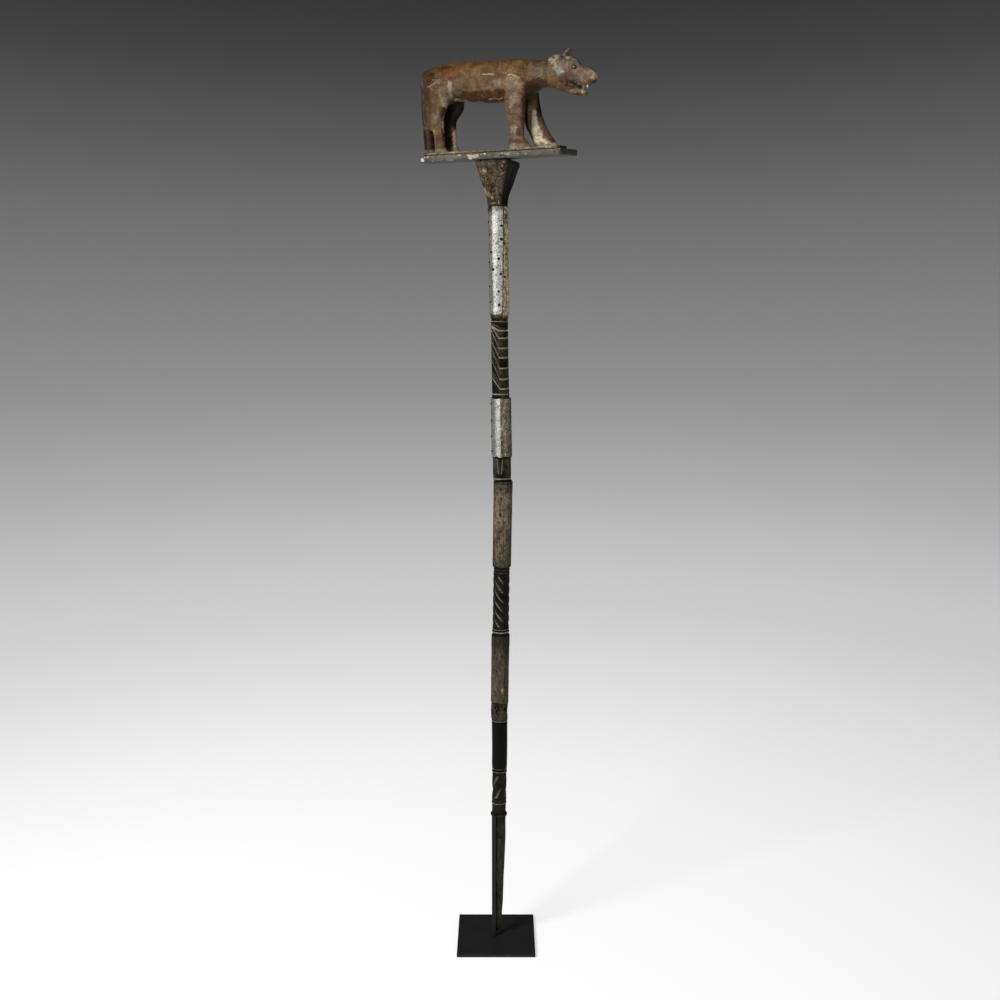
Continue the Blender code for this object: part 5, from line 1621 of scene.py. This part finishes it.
class DriveNails(bpy.types.Operator):
    """Set the dark nail heads in the foil sleeves"""
    bl_idname = "staff.drive_nails"
    bl_label = "Drive Nails"

    def execute(self, context):
        own = settings("foil")
        rng = np.random.default_rng(PLACE_SEED)
        points, outward = [], []
        for name, sleeve in SLEEVES.items():
            low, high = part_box(name)
            far = [(degrees + rng.uniform(-3.0, 3.0), share)
                   for degrees, shares in sleeve["far_nails"] for share in shares]
            for degrees, share in sleeve["nails"] + far:
                angle = FRONT + math.radians(degrees)
                height = low[2] + (high[2] - low[2]) * share
                radius = along(sleeve["outside"], height) - 0.0003
                x, y = math.cos(angle), math.sin(angle)
                outward.append((x, y, 0.0))
                points.append((along(sleeve["line"], height) + radius * x, radius * y, height))
        mesh = bpy.data.meshes.new("sleeve_nails")
        mesh.from_pydata(points, [], [])
        layer = mesh.attributes.new("outward", "FLOAT_VECTOR", "POINT")
        layer.data.foreach_set("vector", np.array(outward, np.float32).ravel())
        piece = link("sleeve_nails", mesh)
        finish = plain_finish("nail_iron", own.nail, 0.5)
        add_tree(piece, nail_tree(finish), "heads", Radius=own.nail_radius)
        plain_mesh(piece)
        finish_piece(piece, finish, "silver_foil")
        return {"FINISHED"}


# ---------------------------------------------------------------- stand and stage
class FinishStand(bpy.types.Operator):
    """Give the steel plate and its post their satin black finish"""
    bl_idname = "staff.finish_stand"
    bl_label = "Finish Stand"

    def execute(self, context):
        steel = steel_finish(settings("stand"))
        for node in ("base_plate", "support_post"):
            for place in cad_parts[node].material_slots:
                place.material = steel
        return {"FINISHED"}


FLOOR_REACH, BEND_RADIUS, WALL_TOP = 2.9, 1.3, 4.6
FLOOR_SIDES, BEND_STEPS, FLOOR_DROP = 96, 16, 0.0004
SKY_COLOUR = (1.0, 0.98, 0.94)
SKY_STRENGTH = 0.10
# lights: name, place, what it shines at, its width and height, share of the key's power
LIGHTS = (("key", (-1.9, -1.9, 2.5), (0.0, 0.0, 1.1), (1.3, 1.8), 1.0),
          ("fill", (2.4, -2.0, 1.6), (0.0, 0.0, 0.9), (1.2, 1.8), 0.06))
CAMERA_PLACE = (0.0075, -2.1336, 1.2220)
CAMERA_DOWN = 9.012             # degrees below level


def area_light(name, place, aim, size, power):
    data = bpy.data.lights.new(name, "AREA")
    data.shape = "RECTANGLE"
    data.size, data.size_y = size
    data.energy = power
    light = link(name, data)
    light.location = place
    light.rotation_euler = (Vector(aim) - Vector(place)).to_track_quat("-Z", "Y").to_euler()


def backdrop_finish(own):
    """Pale floor that darkens up the backdrop, glowing with its own colour as painted light."""
    make = Finish("floor", 0.95, specular=0.1)
    distance = make.add("ShaderNodeVectorMath", {0: make.place}, "Value", operation="LENGTH")
    colour = make.stain(own.floor, own.middle, distance, own.near, own.near * 8.0)
    colour = make.stain(colour, own.wall, distance, own.far * 0.56, own.far)
    # Painted light: the floor and backdrop glow with their colour.
    make.put(make.shader["Emission Color"], colour)
    make.shader["Emission Strength"].default_value = own.glow
    return make.done(colour)


class SetStage(bpy.types.Operator):
    """Set the pale floor with its curved backdrop, the soft lights and the camera"""
    bl_idname = "staff.set_stage"
    bl_label = "Set Stage"

    def execute(self, context):
        own, scene = settings("stage"), context.scene
        outline = [(FLOOR_REACH, 0.0)]
        for step in range(1, BEND_STEPS + 1):
            angle = math.pi / 2.0 * step / BEND_STEPS
            outline.append((FLOOR_REACH + BEND_RADIUS * math.sin(angle),
                            BEND_RADIUS * (1.0 - math.cos(angle))))
        outline.append((FLOOR_REACH + BEND_RADIUS, WALL_TOP))
        bm = bmesh.new()
        turns = [TURN * i / FLOOR_SIDES for i in range(FLOOR_SIDES)]
        loops = [[bm.verts.new((radius * math.cos(turn), radius * math.sin(turn), height))
                  for turn in turns] for radius, height in outline]
        bm.faces.new(loops[0])
        for lower, upper in zip(loops, loops[1:]):
            for i in range(FLOOR_SIDES):
                j = (i + 1) % FLOOR_SIDES
                bm.faces.new((upper[i], upper[j], lower[j], lower[i]))
        mesh = mesh_of("floor", bm)
        floor = link("floor", mesh)
        floor.location.z = -FLOOR_DROP
        mesh.shade_smooth()
        mesh.materials.append(backdrop_finish(own))

        scene.world = bpy.data.worlds.new("soft_sky")
        scene.world.use_nodes = True
        sky = scene.world.node_tree.nodes["Background"].inputs
        sky["Color"].default_value = (*SKY_COLOUR, 1.0)
        sky["Strength"].default_value = SKY_STRENGTH
        for name, place, aim, size, share in LIGHTS:
            area_light(name, place, aim, size, own.key_power * share)

        data = bpy.data.cameras.new("camera")
        data.sensor_width = 36.0
        data.lens = own.lens
        scene.camera = link("camera", data)
        scene.camera.location = CAMERA_PLACE
        scene.camera.rotation_euler = (math.radians(90.0 - CAMERA_DOWN), 0.0, 0.0)
        scene.view_settings.view_transform = "Standard"
        return {"FINISHED"}


# ---------------------------------------------------------------- add-on
class StaffPanel(bpy.types.Panel):
    """Lists the staff's operators and settings"""
    bl_label = "Linguist Staff"
    bl_idname = "STAFF_PT_panel"
    bl_space_type = "VIEW_3D"
    bl_region_type = "UI"
    bl_category = "Staff"

    def draw(self, context):
        for operator in OPERATORS:
            self.layout.operator(operator.bl_idname)
        for name in SETTINGS:
            group = getattr(context.scene, "staff_" + name)
            box = self.layout.box()
            box.label(text=name.title())
            for key in group.__annotations__:
                box.prop(group, key)


SETTINGS = {"animal": AnimalSettings, "plank": PlankSettings, "capital": CapitalSettings,
            "shaft": ShaftSettings, "foil": FoilSettings, "stand": StandSettings,
            "stage": StageSettings}
OPERATORS = (SetStage, FinishStand, CarveLowerShaft, CarveUpperShaft, WrapSleeves, DriveNails,
             CarveCapital, CutPlank, CarveLeopard, SetEyesAndTeeth)


def register():
    for name, group in SETTINGS.items():
        bpy.utils.register_class(group)
        setattr(bpy.types.Scene, "staff_" + name, PointerProperty(type=group))
    for item in (*OPERATORS, StaffPanel):
        bpy.utils.register_class(item)


def unregister():
    for item in reversed((*OPERATORS, StaffPanel)):
        bpy.utils.unregister_class(item)
    for name, group in SETTINGS.items():
        delattr(bpy.types.Scene, "staff_" + name)
        bpy.utils.unregister_class(group)


def main():
    register()
    for operator in OPERATORS:
        group, name = operator.bl_idname.split(".")
        getattr(getattr(bpy.ops, group), name)()


if __name__ == "__main__":
    main()
